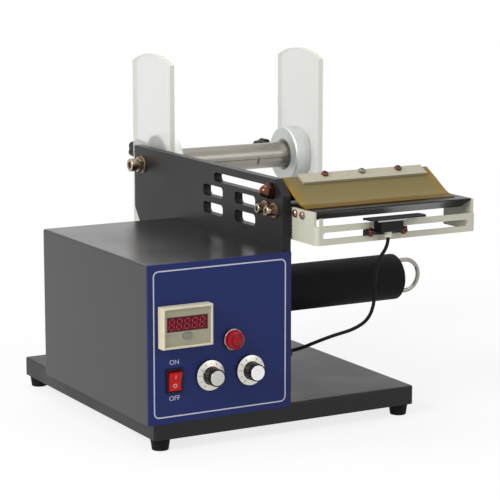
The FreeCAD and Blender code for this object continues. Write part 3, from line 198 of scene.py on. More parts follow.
def add_node(tree, kind, values=None):
    """Adds one shader node; each value sets an attribute or a socket, and another node's output is linked."""
    node = tree.nodes.new(kind)
    for name, value in (values or {}).items():
        if isinstance(name, str) and name not in node.inputs:
            setattr(node, name, value)
        elif isinstance(value, bpy.types.NodeSocket):
            tree.links.new(value, node.inputs[name])
        else:
            node.inputs[name].default_value = value
    return node


def new_material(name, sockets):
    """A material with one principled shader; returns its tree, the shader and the piece's own coordinates."""
    material = bpy.data.materials.new(name)
    material.use_nodes = True
    tree = material.node_tree
    tree.nodes.clear()
    shader = add_node(tree, "ShaderNodeBsdfPrincipled", sockets)
    add_node(tree, "ShaderNodeOutputMaterial", {"Surface": shader.outputs["BSDF"]})
    return tree, shader, add_node(tree, "ShaderNodeTexCoord").outputs["Object"]


def shade(colour, share):
    """A colour made darker or lighter by a share."""
    return tuple(min(1.0, v * share) for v in colour[:3]) + (1.0,)


def noise(tree, place, grain, detail=3.0, stretch=(1.0, 1.0, 1.0)):
    """Noise whose spots are about grain metres wide, drawn out by stretch."""
    mapped = add_node(tree, "ShaderNodeMapping", {"Vector": place, "Scale": stretch}).outputs["Vector"]
    return add_node(tree, "ShaderNodeTexNoise",
                    {"Vector": mapped, "Scale": 1.0 / grain, "Detail": detail}).outputs["Fac"]


def mottled(tree, value, colour, first, last=1.0):
    """A colour that runs from its first share to its last one as a value runs from 0 to 1."""
    return add_node(tree, "ShaderNodeMix", {"data_type": "RGBA", "Factor": value, 6: shade(colour, first),
                                            7: shade(colour, last)}).outputs[2]


def stained(tree, tint, stain, value, full, none, cover=1.0):
    """A stain over a tint: it covers its share where a value is at full and is gone where it is at none."""
    mask = add_node(tree, "ShaderNodeMapRange", {"Value": value, "From Min": full, "From Max": none,
                                                 "To Min": cover, "To Max": 0.0}).outputs["Result"]
    return add_node(tree, "ShaderNodeMix",
                    {"data_type": "RGBA", "Factor": mask, 6: tint, 7: stain}).outputs[2]


def surface(tree, shader, tint, patches=None, gloss=(0.0, 1.0), height=None, depth=0.0):
    """Gives a shader its colour, a roughness that wanders over patches, and a relief depth metres deep."""
    tree.links.new(tint, shader.inputs["Base Color"])
    if patches:
        wander = add_node(tree, "ShaderNodeMapRange", {"Value": patches, "From Min": 0.3, "From Max": 0.7,
                                                       "To Min": gloss[0], "To Max": gloss[1]})
        tree.links.new(wander.outputs["Result"], shader.inputs["Roughness"])
    if height:
        bump = add_node(tree, "ShaderNodeBump", {"Height": height, "Strength": 1.0, "Distance": depth})
        tree.links.new(bump.outputs["Normal"], shader.inputs["Normal"])


def powder_coat(name, colour, gloss, peel, sheen):
    """Baked powder coat: an even colour, paler on worn edges, whose orange peel breaks up reflections."""
    tree, shader, place = new_material(name, {"IOR": 1.5, "Specular IOR Level": sheen})
    edge = add_node(tree, "ShaderNodeNewGeometry").outputs["Pointiness"]
    tint = mottled(tree, noise(tree, place, 120.0 * MM, 1.0), colour, 0.95, 1.05)
    tint = stained(tree, tint, shade(colour, 2.6), edge, 0.62, 0.53, cover=0.35)
    surface(tree, shader, tint, noise(tree, place, 60.0 * MM, 1.0), gloss, noise(tree, place, peel, 2.0),
            0.004 * MM)


def printed_film(name, colour):
    """Polyester overlay film: printed on its back, a faint fine texture and an even sheen on its front."""
    tree, shader, place = new_material(name, {"Roughness": 0.42, "IOR": 1.45, "Specular IOR Level": 0.25})
    surface(tree, shader, mottled(tree, noise(tree, place, 90.0 * MM, 1.0), colour, 0.9, 1.08),
            height=noise(tree, place, 0.5 * MM, 2.0), depth=0.004 * MM)


def printing_ink(name, colour):
    """Screen-printed ink: dense and nearly matt, a little thinner in places."""
    tree, shader, place = new_material(name, {"Roughness": 0.5})
    surface(tree, shader, mottled(tree, noise(tree, place, 1.5 * MM), colour, 0.88))


def turned_steel(name, colour, roughness, node, axis="X", ring=2.2 * MM):
    """Turned metal: rings about its node's own axis, with a soft sheen across them.

    The tool's feed of some 0.2 mm is too fine to show, so the rings are drawn as wide as they need to be.
    """
    tree, shader, place = new_material(name, {"Metallic": 1.0})
    mapped = add_node(tree, "ShaderNodeMapping", {"Vector": place, "Location": tuple(-centre_of(node))})
    rings = add_node(tree, "ShaderNodeTexWave",
                     {"wave_type": "RINGS", "rings_direction": axis, "Vector": mapped.outputs["Vector"],
                      "Scale": WAVE / ring, "Distortion": 0.6, "Detail": 2.0}).outputs["Fac"]
    patches = noise(tree, place, 12.0 * MM)
    surface(tree, shader, mottled(tree, patches, colour, 0.82, 1.05), patches,
            (roughness - 0.05, roughness + 0.08), rings, 0.01 * MM)


def drawn_steel(name, colour, roughness, along, marks=None):
    """Drawn or brushed metal: scratches run one way along it, drawn wider than the real 0.1 mm to show."""
    tree, shader, place = new_material(name, {"Metallic": 1.0})
    lines = noise(tree, place, 0.25 * MM, 4.0, tuple(0.02 if k == along else 1.0 for k in range(3)))
    tint = mottled(tree, noise(tree, place, 25.0 * MM), colour, 0.84, 1.04)
    if marks:
        tint = marks(tree, place, tint, colour)
    surface(tree, shader, tint, lines, (roughness - 0.06, roughness + 0.08), lines, 0.006 * MM)


def weld_and_stain(tree, place, tint, colour):
    """The roll tube's dark weld line just under mid height, and a brown stain below it by the right hub."""
    centre = centre_of("mandrel_tube")
    height = add_node(tree, "ShaderNodeSeparateXYZ", {"Vector": place}).outputs["Z"]
    above = add_node(tree, "ShaderNodeMath", {"operation": "SUBTRACT", 0: height, 1: centre.z - 1.2 * MM})
    away = add_node(tree, "ShaderNodeMath", {"operation": "ABSOLUTE", 0: above.outputs[0]})
    tint = stained(tree, tint, shade(colour, 0.12), away.outputs[0], 0.15 * MM, 0.55 * MM, cover=0.7)
    spot = (92.0 * MM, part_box("mandrel_tube")[0].y, centre.z - 4.0 * MM)
    moved = add_node(tree, "ShaderNodeMapping", {"vector_type": "TEXTURE", "Vector": place, "Location": spot,
                                                 "Scale": (0.35, 1.0, 1.0)})
    reach = add_node(tree, "ShaderNodeVectorMath", {"operation": "LENGTH", 0: moved.outputs["Vector"]})
    return stained(tree, tint, linear("#4a3026"), reach.outputs["Value"], 2.0 * MM, 6.0 * MM, cover=0.75)


def plated_fastener(name, colour, roughness):
    """Plated screws and nuts: bright metal, clouded by the chromate and scuffed by the driver."""
    tree, shader, place = new_material(name, {"Metallic": 1.0})
    surface(tree, shader, mottled(tree, noise(tree, place, 2.2 * MM, 4.0), colour, 0.62, 1.15),
            noise(tree, place, 1.2 * MM), (roughness - 0.08, roughness + 0.14))


def cast_acrylic(name, haze, edge):
    """Cast acrylic sheet: light passes its hazy faces, and its sawn edges gather a yellow-green tint."""
    tree, shader, place = new_material(name, {"IOR": 1.49, "Roughness": 0.12, "Coat Weight": 0.3,
                                              "Coat Roughness": 0.05})
    normal = add_node(tree, "ShaderNodeTexCoord").outputs["Normal"]
    facing = add_node(tree, "ShaderNodeSeparateXYZ", {"Vector": normal}).outputs["X"]
    flat = add_node(tree, "ShaderNodeMath", {"operation": "ABSOLUTE", 0: facing}).outputs["Value"]
    tint = mottled(tree, noise(tree, place, 40.0 * MM), haze, 0.96)
    surface(tree, shader, stained(tree, tint, edge, flat, 0.5, 0.9))
    cover = add_node(tree, "ShaderNodeMapRange", {"Value": flat, "From Min": 0.5, "From Max": 0.9,
                                                  "To Min": 0.7, "To Max": 0.45})
    tree.links.new(cover.outputs["Result"], shader.inputs["Alpha"])


def urethane_sheet(name, colour, side, lip):
    """Polyurethane press sheet: a greyish amber, clearer at its free sides and deepest on its pressed lip,
    with a painted shadow of the clamp strip.
    """
    tree, shader, place = new_material(name, {"Transmission Weight": 0.05, "IOR": 1.5,
                                              "Specular IOR Level": 0.08})
    low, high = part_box("press_sheet")
    axes = add_node(tree, "ShaderNodeSeparateXYZ", {"Vector": place}).outputs
    cloud = noise(tree, place, 40.0 * MM, 4.0)
    waver = add_node(tree, "ShaderNodeMath",
                     {"operation": "MULTIPLY_ADD", 0: cloud, 1: 4.0 * MM, 2: -2.0 * MM}).outputs[0]
    # Painted shadow of the clamp strip: lighter by the front lip, darker over the 40 mm towards the strip
    rise = add_node(tree, "ShaderNodeMapRange",
                    {"Value": axes["Y"], "From Min": low.y, "From Max": low.y + 40.0 * MM}).outputs["Result"]
    tint = mottled(tree, rise, colour, 1.25, 0.72)
    tint = stained(tree, tint, shade(colour, 1.05), cloud, 1.0, 0.0)
    for axis, full, none, deep in (("X", low.x, low.x + 10.0 * MM, side),
                                   ("X", high.x, high.x - 10.0 * MM, side),
                                   ("Y", low.y + 7.0 * MM, low.y + 11.0 * MM, lip)):
        along = add_node(tree, "ShaderNodeMath", {"operation": "ADD", 0: axes[axis], 1: waver}).outputs[0]
        tint = stained(tree, tint, deep, along, full, none)
    surface(tree, shader, tint, noise(tree, place, 22.0 * MM), (0.3, 0.42))


def enamel(name, colour):
    """Gloss enamel on sheet steel: smooth, with a faint waviness and painted shade in its concave corners."""
    tree, shader, place = new_material(name, {"Coat Weight": 0.35, "Coat Roughness": 0.12, "IOR": 1.5})
    edge = add_node(tree, "ShaderNodeNewGeometry").outputs["Pointiness"]
    tint = mottled(tree, noise(tree, place, 18.0 * MM, 4.0), colour, 0.9)
    # Painted shade: darker where pointiness is low, in the concave corners
    tint = stained(tree, tint, shade(colour, 0.4), edge, 0.36, 0.47, cover=0.55)
    surface(tree, shader, tint, noise(tree, place, 8.0 * MM), (0.26, 0.4), noise(tree, place, 1.4 * MM, 2.0),
            0.006 * MM)


def moulded_plastic(name, colour, roughness, spark=0.25 * MM, depth=0.01 * MM, sheen=0.5):
    """Moulded plastic: the mould's spark-eroded grain and a slight change of shade."""
    tree, shader, place = new_material(name, {"IOR": 1.53, "Specular IOR Level": sheen})
    grain = noise(tree, place, spark, 2.0)
    surface(tree, shader, mottled(tree, noise(tree, place, 7.0 * MM), colour, 0.85, 1.1), grain,
            (roughness - 0.06, roughness + 0.06), grain, depth)


def soft_rubber(name, colour, grind, depth, sheen=0.08):
    """Rubber: dull, ground to size, with a bloom that lightens it in patches."""
    tree, shader, place = new_material(name, {"IOR": 1.52, "Specular IOR Level": sheen})
    grain = noise(tree, place, grind)
    surface(tree, shader, mottled(tree, noise(tree, place, 14.0 * MM, 4.0), colour, 0.85, 1.2), grain,
            (0.55, 0.75), grain, depth)


def signal_lens(name, colour, glow):
    """Coloured lens moulding: fine rings inside scatter the lamp's light, and painted shade darkens one ring,
    standing for a deep groove.
    """
    tree, shader, place = new_material(
        name, {"Roughness": 0.2, "Specular IOR Level": 0.15, "Coat Weight": 0.12, "Coat Roughness": 0.05,
               "Emission Strength": glow, "Emission Color": colour})
    low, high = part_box("lamp_lens")
    radius = (high.x - low.x) / 2.0
    centre = centre_of("lamp_lens")
    flat = add_node(tree, "ShaderNodeMapping", {"Vector": place, "Location": (-centre.x, 0.0, -centre.z),
                                                "Scale": (1.0, 0.0, 1.0)}).outputs["Vector"]
    rings = add_node(tree, "ShaderNodeTexWave", {"wave_type": "RINGS", "rings_direction": "Y",
                                                 "Vector": flat, "Scale": WAVE / (1.208 * MM)}).outputs["Fac"]
    reach = add_node(tree, "ShaderNodeVectorMath", {"operation": "LENGTH", 0: flat}).outputs["Value"]
    # Painted shade: the ring at six tenths of the radius is darkened, standing for a deep groove
    groove_shade = add_node(tree, "ShaderNodeMath", {"operation": "COMPARE", 0: reach, 1: 0.6 * radius,
                                               2: 0.09 * radius}).outputs[0]
    tint = mottled(tree, rings, colour, 0.62)
    surface(tree, shader, stained(tree, tint, shade(colour, 0.3), groove_shade, 1.0, 0.0))


def lit_segment(name, colour, glow):
    """A display segment behind its red filter: a dull even glow."""
    tree, shader, place = new_material(name, {"Roughness": 0.3, "Emission Strength": glow,
                                              "Emission Color": colour})
    surface(tree, shader, mottled(tree, noise(tree, place, 2.0 * MM), colour, 0.8))


def circuit_laminate(name, colour):
    """Solder-masked glass laminate: glossy green with darker copper fields some 6 mm wide."""
    tree, shader, place = new_material(name, {"Roughness": 0.35})
    cells = add_node(tree, "ShaderNodeTexVoronoi", {"Vector": place, "Scale": 1.0 / (6.0 * MM)})
    surface(tree, shader, mottled(tree, cells.outputs["Distance"], colour, 0.6, 1.3))


def wound_iron(name, colour):
    """Varnished transformer laminations: stacked lines under a brown varnish, drawn 1 mm wide to show."""
    tree, shader, place = new_material(name, {"Roughness": 0.45, "Metallic": 0.4})
    stack = add_node(tree, "ShaderNodeTexWave", {"bands_direction": "Y", "Vector": place,
                                                 "Scale": WAVE / (1.0 * MM), "Distortion": 0.2})
    surface(tree, shader, mottled(tree, stack.outputs["Fac"], colour, 0.5))


def fetch(name):
    """A finish made by the finishes operator."""
    return bpy.data.materials[name]


def only(*objects):
    """Selects these objects alone, the first of them active."""
    bpy.ops.object.select_all(action="DESELECT")
    for item in objects:
        item.select_set(True)
    bpy.context.view_layer.objects.active = objects[0]


def edit(piece):
    """Enters edit mode on a piece with all of it selected."""
    only(piece)
    bpy.ops.object.mode_set(mode="EDIT")
    bpy.ops.mesh.select_all(action="SELECT")


def finish_edit():
    """Leaves edit mode."""
    bpy.ops.object.mode_set(mode="OBJECT")


def pick(piece, test):
    """In edit mode, selects the vertices of a piece that pass a test."""
    bpy.ops.mesh.select_all(action="DESELECT")
    bpy.ops.object.mode_set(mode="OBJECT")
    for vertex in piece.data.vertices:
        vertex.select = test(vertex)
    bpy.ops.object.mode_set(mode="EDIT")


def settle(piece):
    """Puts a piece's place and turn into its mesh."""
    only(piece)
    bpy.ops.object.transform_apply(location=True, rotation=True, scale=True)


def joined(name, pieces):
    """Several pieces made into one."""
    only(*pieces)
    bpy.ops.object.join()
    piece = bpy.context.active_object
    piece.name = name
    return piece


def soften(piece, width, crease=38.0):
    """Rounds a piece's edges that turn by more than crease degrees, and smooths what lies between them."""
    only(piece)
    if width > 0.0:
        rounding = piece.modifiers.new("rounding", "BEVEL")
        rounding.width = width
        rounding.segments = 2
        rounding.limit_method = "ANGLE"
        rounding.angle_limit = math.radians(crease)
        bpy.ops.object.modifier_apply(modifier=rounding.name)
    bpy.ops.object.shade_smooth_by_angle(angle=math.radians(crease))
    weighting = piece.modifiers.new("weighting", "WEIGHTED_NORMAL")
    weighting.weight = 100
    weighting.keep_sharp = True
    bpy.ops.object.modifier_apply(modifier=weighting.name)


def seat(piece, body, material):
    """Settles a piece, gives it its finish and lets it ride on its body."""
    settle(piece)
    piece.data.materials.clear()
    piece.data.materials.append(fetch(material))
    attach(piece, body)


def dress(node, material, width=0.0, crease=38.0):
    """A merged copy of a CAD node with softened edges, which stands for that node."""
    source = frame["nodes"][node]
    piece = bpy.data.objects.new(node + "_finished", source.data.copy())
    bpy.context.scene.collection.objects.link(piece)
    edit(piece)
    bpy.ops.mesh.remove_doubles(threshold=0.002 * MM)
    bpy.ops.mesh.dissolve_limited(angle_limit=math.radians(0.5))
    finish_edit()
    soften(piece, width, crease)
    seat(piece, BODY_OF[node], material)
    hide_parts(node)
    return piece


def islands(piece):
    """The places of the vertices of each loose part of a piece."""
    data = piece.data
    root = list(range(len(data.vertices)))

    def top(k):
        while root[k] != k:
            root[k] = root[root[k]]
            k = root[k]
        return k

    for edge in data.edges:
        root[top(edge.vertices[0])] = top(edge.vertices[1])
    groups = {}
    for vertex in data.vertices:
        groups.setdefault(top(vertex.index), []).append(vertex.co.copy())
    return list(groups.values())


def cut_crosses(piece, outward, arm=2.9 * MM, width=0.62 * MM, depth=1.0 * MM, crown=0.25 * MM, turn=0.5):
    """Cuts the driver's cross into each pan head, depth under its crown.

    Outward gives the direction of a head from its middle; the cross is turned on it by turn radians.
    """
    cutters = []
    for points in islands(piece):
        middle = sum(points, Vector()) / len(points)
        way = outward(middle).normalized()
        far = max(p.dot(way) for p in points)
        tops = [p for p in points if p.dot(way) > far - crown]
        head = sum(tops, Vector()) / len(tops)
        facing = way.to_track_quat("Z", "Y").to_matrix().to_4x4()
        for bar_turn in (turn, turn + math.pi / 2.0):
            bpy.ops.mesh.primitive_cube_add(size=1.0)
            bar = bpy.context.active_object
            bar.matrix_world = (Matrix.Translation(head) @ facing @ Matrix.Rotation(bar_turn, 4, "Z")
                                @ Matrix.Diagonal((arm, width, 2.0 * depth, 1.0)))
            settle(bar)
            cutters.append(bar)
    for cutter in cutters:
        only(piece)
        recess = piece.modifiers.new("recess", "BOOLEAN")
        recess.operation = "DIFFERENCE"
        recess.solver = "EXACT"
        recess.object = cutter
        bpy.ops.object.modifier_apply(modifier=recess.name)
        bpy.data.objects.remove(cutter)
    soften(piece, 0.0)


def repaint(node, material):
    """Gives a CAD node that stays as it is its finish."""
    data = frame["nodes"][node].data
    data.materials.clear()
    data.materials.append(fetch(material))


def paint_faces(piece, material, test):
    """Gives the faces of a piece that pass a test a second finish."""
    piece.data.materials.append(fetch(material))
    index = len(piece.data.materials) - 1
    for face in piece.data.polygons:
        if test(face):
            face.material_index = index


def sheet_piece(name, centre, size):
    """A flat oblong piece that faces the front, size wide and high, to be raised by thicken."""
    bpy.ops.mesh.primitive_plane_add(size=1.0, location=centre, rotation=(math.pi / 2.0, 0.0, 0.0))
    piece = bpy.context.active_object
    piece.name = name
    piece.scale = (size[0], size[1], 1.0)
    settle(piece)
    return piece


def thicken(piece, depth):
    """Extrudes a flat piece that faces the front by depth, towards the front, and closes it."""
    edit(piece)
    bpy.ops.mesh.extrude_region_move(TRANSFORM_OT_translate={"value": (0.0, -depth, 0.0)})
    bpy.ops.mesh.select_all(action="SELECT")
    bpy.ops.mesh.normals_make_consistent(inside=False)
    finish_edit()


def frame_line(name, centre, size, line, film, ink, corner=0.0):
    """A printed line, film high, along the inside of an oblong that faces the front."""
    piece = sheet_piece(name, centre, size)
    edit(piece)
    if corner:
        bpy.ops.mesh.bevel(offset=corner, segments=10, affect="VERTICES")
        bpy.ops.mesh.select_all(action="SELECT")
    bpy.ops.mesh.inset(thickness=line, depth=0.0)
    bpy.ops.mesh.delete(type="FACE")
    finish_edit()
    thicken(piece, film)
    seat(piece, "machine", ink)


def letters(name, words, height, depth, matrix):
    """Raised lettering: lies in its own XY plane, centred, and is then put in place by a matrix."""
    bpy.ops.object.text_add()
    text = bpy.context.active_object.data
    text.body = words
    text.size = height / CAPITAL
    text.align_x = "CENTER"
    text.align_y = "CENTER"
    text.extrude = depth / 2.0
    text.resolution_u = 4
    bpy.ops.object.convert(target="MESH")
    piece = bpy.context.active_object
    piece.name = name
    piece.matrix_world = matrix
    settle(piece)
    return piece


class DISPENSER_OT_finishes(bpy.types.Operator):
    """Makes the finishes of the machine's metals, plastics, rubbers and prints"""
    bl_idname = "dispenser.finishes"
    bl_label = "Finishes"

    def execute(self, context):
        paint = context.scene.dispenser_colours
        # Powder coats: the case is glossy, plate and tray are satin, and the peel plate has a long even peel
        powder_coat("powder_coat_case", paint.case, gloss=(0.21, 0.27), peel=1.3 * MM, sheen=0.4)
        powder_coat("powder_coat_plate", paint.plate, gloss=(0.34, 0.42), peel=1.0 * MM, sheen=0.2)
        powder_coat("powder_coat_base", paint.base, gloss=(0.34, 0.42), peel=1.0 * MM, sheen=0.3)
        powder_coat("powder_coat_peel", linear("#1d1d1f"), gloss=(0.3, 0.34), peel=9.0 * MM, sheen=0.22)
        # Prints: flat and even beside the metal
        printed_film("polyester_overlay", paint.panel)
        printing_ink("white_ink", linear("#ccd0da"))
        printing_ink("black_ink", linear("#2a2a2c"))
        # Turned metal: hubs with a soft bloom of zinc, dial skirts and caps cut brighter
        # Painted light: the left hub is a lighter copy of the zinc, standing for light that reaches it
        # through the clear arm
        turned_steel("zinc_plated_hub_left", linear("#dcdedb"), 0.52, "left_hub")
        turned_steel("zinc_plated_hub_right", linear("#d3d6d3"), 0.6, "right_hub")
        for side in ("left", "right"):
            turned_steel("turned_skirt_" + side, linear("#dcd8ce"), 0.34, side + "_dial_knob", "Y",
                         1.885 * MM)
        turned_steel("spun_cap_left", linear("#c9c8c3"), 0.2, "left_dial_cap", "Y", 3.14 * MM)
        turned_steel("spun_cap_right", linear("#f0f0ee"), 0.3, "right_dial_cap", "Y", 3.14 * MM)
        # Drawn metal: long streaks along the tube, the drum, the bar, the wire and the leaf
        drawn_steel("satin_tube", linear("#98948b"), 0.26, along=0, marks=weld_and_stain)
        drawn_steel("turned_drum", linear("#c6c5c1"), 0.3, along=0)
        drawn_steel("ground_bar", linear("#d4d3cf"), 0.16, along=0)
        drawn_steel("bright_rod", linear("#9b9893"), 0.2, along=0)
        drawn_steel("sheared_leaf", linear("#b6b7ba"), 0.32, along=0)
        drawn_steel("plated_ring", linear("#9a858e"), 0.16, along=1)
        # Plated hardware: from pale brass to a dark coppery chromate, each clouded and scuffed
        plated_fastener("chromated_copper", linear("#a08470"), 0.32)
        plated_fastener("dark_copper", linear("#6a443a"), 0.2)
        plated_fastener("pale_brass", linear("#b3a48f"), 0.26)
        plated_fastener("dull_zinc", linear("#84837a"), 0.3)
        plated_fastener("bright_zinc", linear("#c9ccd0"), 0.3)
        plated_fastener("black_oxide_screw", linear("#4a4a4c"), 0.4)
        # Sheets and enamels: clear arms, the amber sheet, creamy bracket and strip, grey motor
        cast_acrylic("cast_acrylic", linear("#e0e0dc"), linear("#e6e7d2"))
        urethane_sheet("amber_urethane", paint.amber, linear("#967528"), linear("#6b5008"))
        enamel("cream_enamel", paint.cream)
        enamel("strip_enamel", linear("#b1aa94"))
        enamel("grey_enamel", linear("#5c6066"))
        # Mouldings: black ones nearly matt, ivory and red ones with the mould's own gloss
        moulded_plastic("black_abs", linear("#121214"), 0.42, sheen=0.2)
        moulded_plastic("black_phenolic", linear("#111114"), 0.3, 0.4 * MM, 0.006 * MM, sheen=0.2)
        moulded_plastic("black_nylon", linear("#151516"), 0.5, sheen=0.25)
        moulded_plastic("ivory_abs", linear("#e2d9bd"), 0.4)
        moulded_plastic("gland_nylon", linear("#e9e4cf"), 0.4)
        moulded_plastic("grey_label_film", linear("#a3a088"), 0.45)
        moulded_plastic("grey_key", linear("#85867a"), 0.45)
        moulded_plastic("red_filter", linear("#5a0718"), 0.3, sheen=0.15)
        moulded_plastic("red_rocker_nylon", linear("#cf1010"), 0.3, sheen=0.2)
        signal_lens("red_polycarbonate", linear("#b00a16"), glow=0.06)
        lit_segment("red_segment", linear("#a81434"), glow=0.2)
        # Rubbers: dull black with a ground or extruded grain
        soft_rubber("nitrile_foot", linear("#1c1c1d"), 0.5 * MM, 0.02 * MM)
        soft_rubber("ground_nitrile", linear("#1c1c1d"), 0.35 * MM, 0.006 * MM)
        soft_rubber("pvc_jacket", linear("#151516"), 0.3 * MM, 0.008 * MM, sheen=0.1)
        circuit_laminate("circuit_board", linear("#1f6b3a"))
        wound_iron("varnished_laminations", linear("#5d4630"))
        return {"FINISHED"}


class DISPENSER_OT_frame(bpy.types.Operator):
    """Finishes the base tray, its feet, the case, the bare panel and the side plate"""
    bl_idname = "dispenser.frame"
    bl_label = "Tray, case and side plate"

    def execute(self, context):
        edges = context.scene.dispenser_edges
        dress("base_tray", "powder_coat_base", edges.sheet, 50.0)
        dress("housing_cover", "powder_coat_case", edges.sheet)
        dress("front_panel", "powder_coat_case", edges.sheet)
        dress("side_plate", "powder_coat_plate", edges.plate)
        dress("base_feet", "nitrile_foot", edges.moulded)
        dress("foot_screws", "bright_zinc")
        dress("frame_screws", "black_oxide_screw")
        dress("cable_bush", "black_abs", edges.turned)
        dress("mains_inlet", "black_phenolic", edges.turned)
        return {"FINISHED"}


class DISPENSER_OT_panel(bpy.types.Operator):
    """Finishes the blue overlay and prints its border line and the switch's two words"""
    bl_idname = "dispenser.panel"
    bl_label = "Panel overlay and print"

    def execute(self, context):
        ink = context.scene.dispenser_print
        dress("panel_overlay", "polyester_overlay")
        low, high = PANEL
        centre = centre_of("panel_overlay")
        size = (high.x - low.x - 2.0 * ink.inset, high.z - low.z - 2.0 * ink.inset)
        frame_line("border_line", (centre.x, FRONT, centre.z), size, ink.line, ink.film, "white_ink",
                   ink.corner)
        low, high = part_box("switch_case")
        for words, z in (("ON", high.z + 1.25 * ink.letters), ("OFF", low.z - 1.2 * ink.letters)):
            place = Matrix.Translation(((low.x + high.x) / 2.0, FRONT - ink.film / 2.0, z))
            word = letters("word_" + words.lower(), words, ink.letters, ink.film,
                           place @ Matrix.Rotation(math.pi / 2.0, 4, "X"))
            seat(word, "machine", "white_ink")
        return {"FINISHED"}


class DISPENSER_OT_counter(bpy.types.Operator):
    """Finishes the counter: bezel, label film, window, seven-segment digits and key"""
    bl_idname = "dispenser.counter"
    bl_label = "Counter"

    def execute(self, context):
        edges = context.scene.dispenser_edges
        ink = context.scene.dispenser_print
        case = dress("counter_case", "ivory_abs", edges.moulded, 50.0)
        dress("counter_key", "grey_key", edges.fastener)
        dress("counter_window", "red_filter")
        # The label film lies in a recess of the bezel, 1.2 mm behind its front
        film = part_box("counter_case")[0].y + 1.2 * MM
        paint_faces(case, "grey_label_film",
                    lambda f: abs(f.center.y - film) < 0.1 * MM and f.normal.y < -0.9)
        self.digits(context.scene.dispenser_display)
        low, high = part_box("counter_window")
        centre = centre_of("counter_window")
        size = (high.x - low.x + 2.0 * ink.rim, high.z - low.z + 2.0 * ink.rim)
        frame_line("window_rim", (centre.x, film, centre.z), size, ink.rim, ink.film, "black_ink")
        return {"FINISHED"}

    def digits(self, sizes):
        """A row of equal digits across nearly the whole window."""
        low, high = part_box("counter_window")
        centre = centre_of("counter_window")
        pitch = (high.x - low.x) * 0.96 / sizes.digits
        start = centre.x - pitch * (sizes.digits - 1) / 2.0
        first = self.digit(sizes, start, low.y, centre.z)
        for k in range(1, sizes.digits):
            copy = bpy.data.objects.new("digit_%d" % (k + 1), first.data.copy())
            bpy.context.scene.collection.objects.link(copy)
            copy.location.x = pitch * k
            seat(copy, "machine", "red_segment")
        seat(first, "machine", "red_segment")

    def digit(self, sizes, x, y, z):
        """One figure eight of seven pointed bars and a point, leaning by the slant."""
        half = sizes.height / 2.0
        width = 0.5 * sizes.height
        gap = 1.25 * sizes.stroke
        bars = []
        for level in (-1, 0, 1):
            bars.append(self.bar(sizes.stroke, width - gap, 0.0, 0.0, level * half))
        for side in (-1, 1):
            for level in (-0.5, 0.5):
                bars.append(self.bar(sizes.stroke, half - gap, math.pi / 2.0, side * width / 2.0,
                                     level * half))
        bpy.ops.mesh.primitive_cylinder_add(vertices=12, radius=0.45 * sizes.stroke, depth=SEGMENT,
                                            location=(width * 0.5 + 1.5 * sizes.stroke, 0.0, -half),
                                            rotation=(math.pi / 2.0, 0.0, 0.0))
        piece = joined("digit_1", bars + [bpy.context.active_object])
        settle(piece)
        lean = Matrix.Identity(4)
        lean[0][2] = math.tan(sizes.slant)
        piece.data.transform(lean)
        piece.location = (x - 0.4 * sizes.stroke, y - SEGMENT / 2.0, z)
        settle(piece)
        return piece

    def bar(self, stroke, length, turn, x, z):
        """A six-sided cylinder drawn out along one of its corners into a pointed bar."""
        bpy.ops.mesh.primitive_cylinder_add(vertices=6, radius=stroke / 2.0, depth=SEGMENT)
        piece = bpy.context.active_object
        edit(piece)
        bpy.ops.mesh.select_mode(type="VERT")
        for side in (-1, 1):
            pick(piece, lambda v: v.co.y * side > 0.1 * stroke)
            bpy.ops.transform.translate(value=(0.0, side * (length - stroke) / 2.0, 0.0))
        finish_edit()
        piece.matrix_world = (Matrix.Translation((x, 0.0, z)) @ Matrix.Rotation(turn, 4, "Y")
                              @ Matrix.Rotation(math.pi / 2.0, 4, "X")
                              @ Matrix.Rotation(math.pi / 2.0, 4, "Z"))
        settle(piece)
        return piece


class DISPENSER_OT_lamp(bpy.types.Operator):
    """Finishes the indicator lamp"""
    bl_idname = "dispenser.lamp"
    bl_label = "Indicator lamp"

    def execute(self, context):
        edges = context.scene.dispenser_edges
        dress("lamp_bezel", "plated_ring", edges.turned)
        dress("lamp_lens", "red_polycarbonate")
        return {"FINISHED"}


class DISPENSER_OT_switch(bpy.types.Operator):
    """Finishes the power switch and raises the two signs on its rocker"""
    bl_idname = "dispenser.switch"
    bl_label = "Power switch"

    def execute(self, context):
        edges = context.scene.dispenser_edges
        dress("switch_case", "black_phenolic", edges.turned)
        self.signs(dress("power_rocker", "red_rocker_nylon", edges.moulded))
        return {"FINISHED"}

    def signs(self, rocker):
        """A ring on the lower face and a stroke on the upper one, flush on each face's slope."""
        across = Vector((1.0, 0.0, 0.0))
        faces = [f for f in rocker.data.polygons if f.normal.y < -0.9 and f.area > 20.0 * MM * MM]
        faces.sort(key=lambda f: f.center.z)
        for name, words, face in (("sign_off", "O", faces[0]), ("sign_on", "I", faces[-1])):
            normal = face.normal.normalized()
            turn = Matrix((across, normal.cross(across), normal)).transposed().to_4x4()
            place = Matrix.Translation(face.center + normal * 0.03 * MM) @ turn
            seat(letters(name, words, 3.4 * MM, 0.1 * MM, place), "rocker", "white_ink")


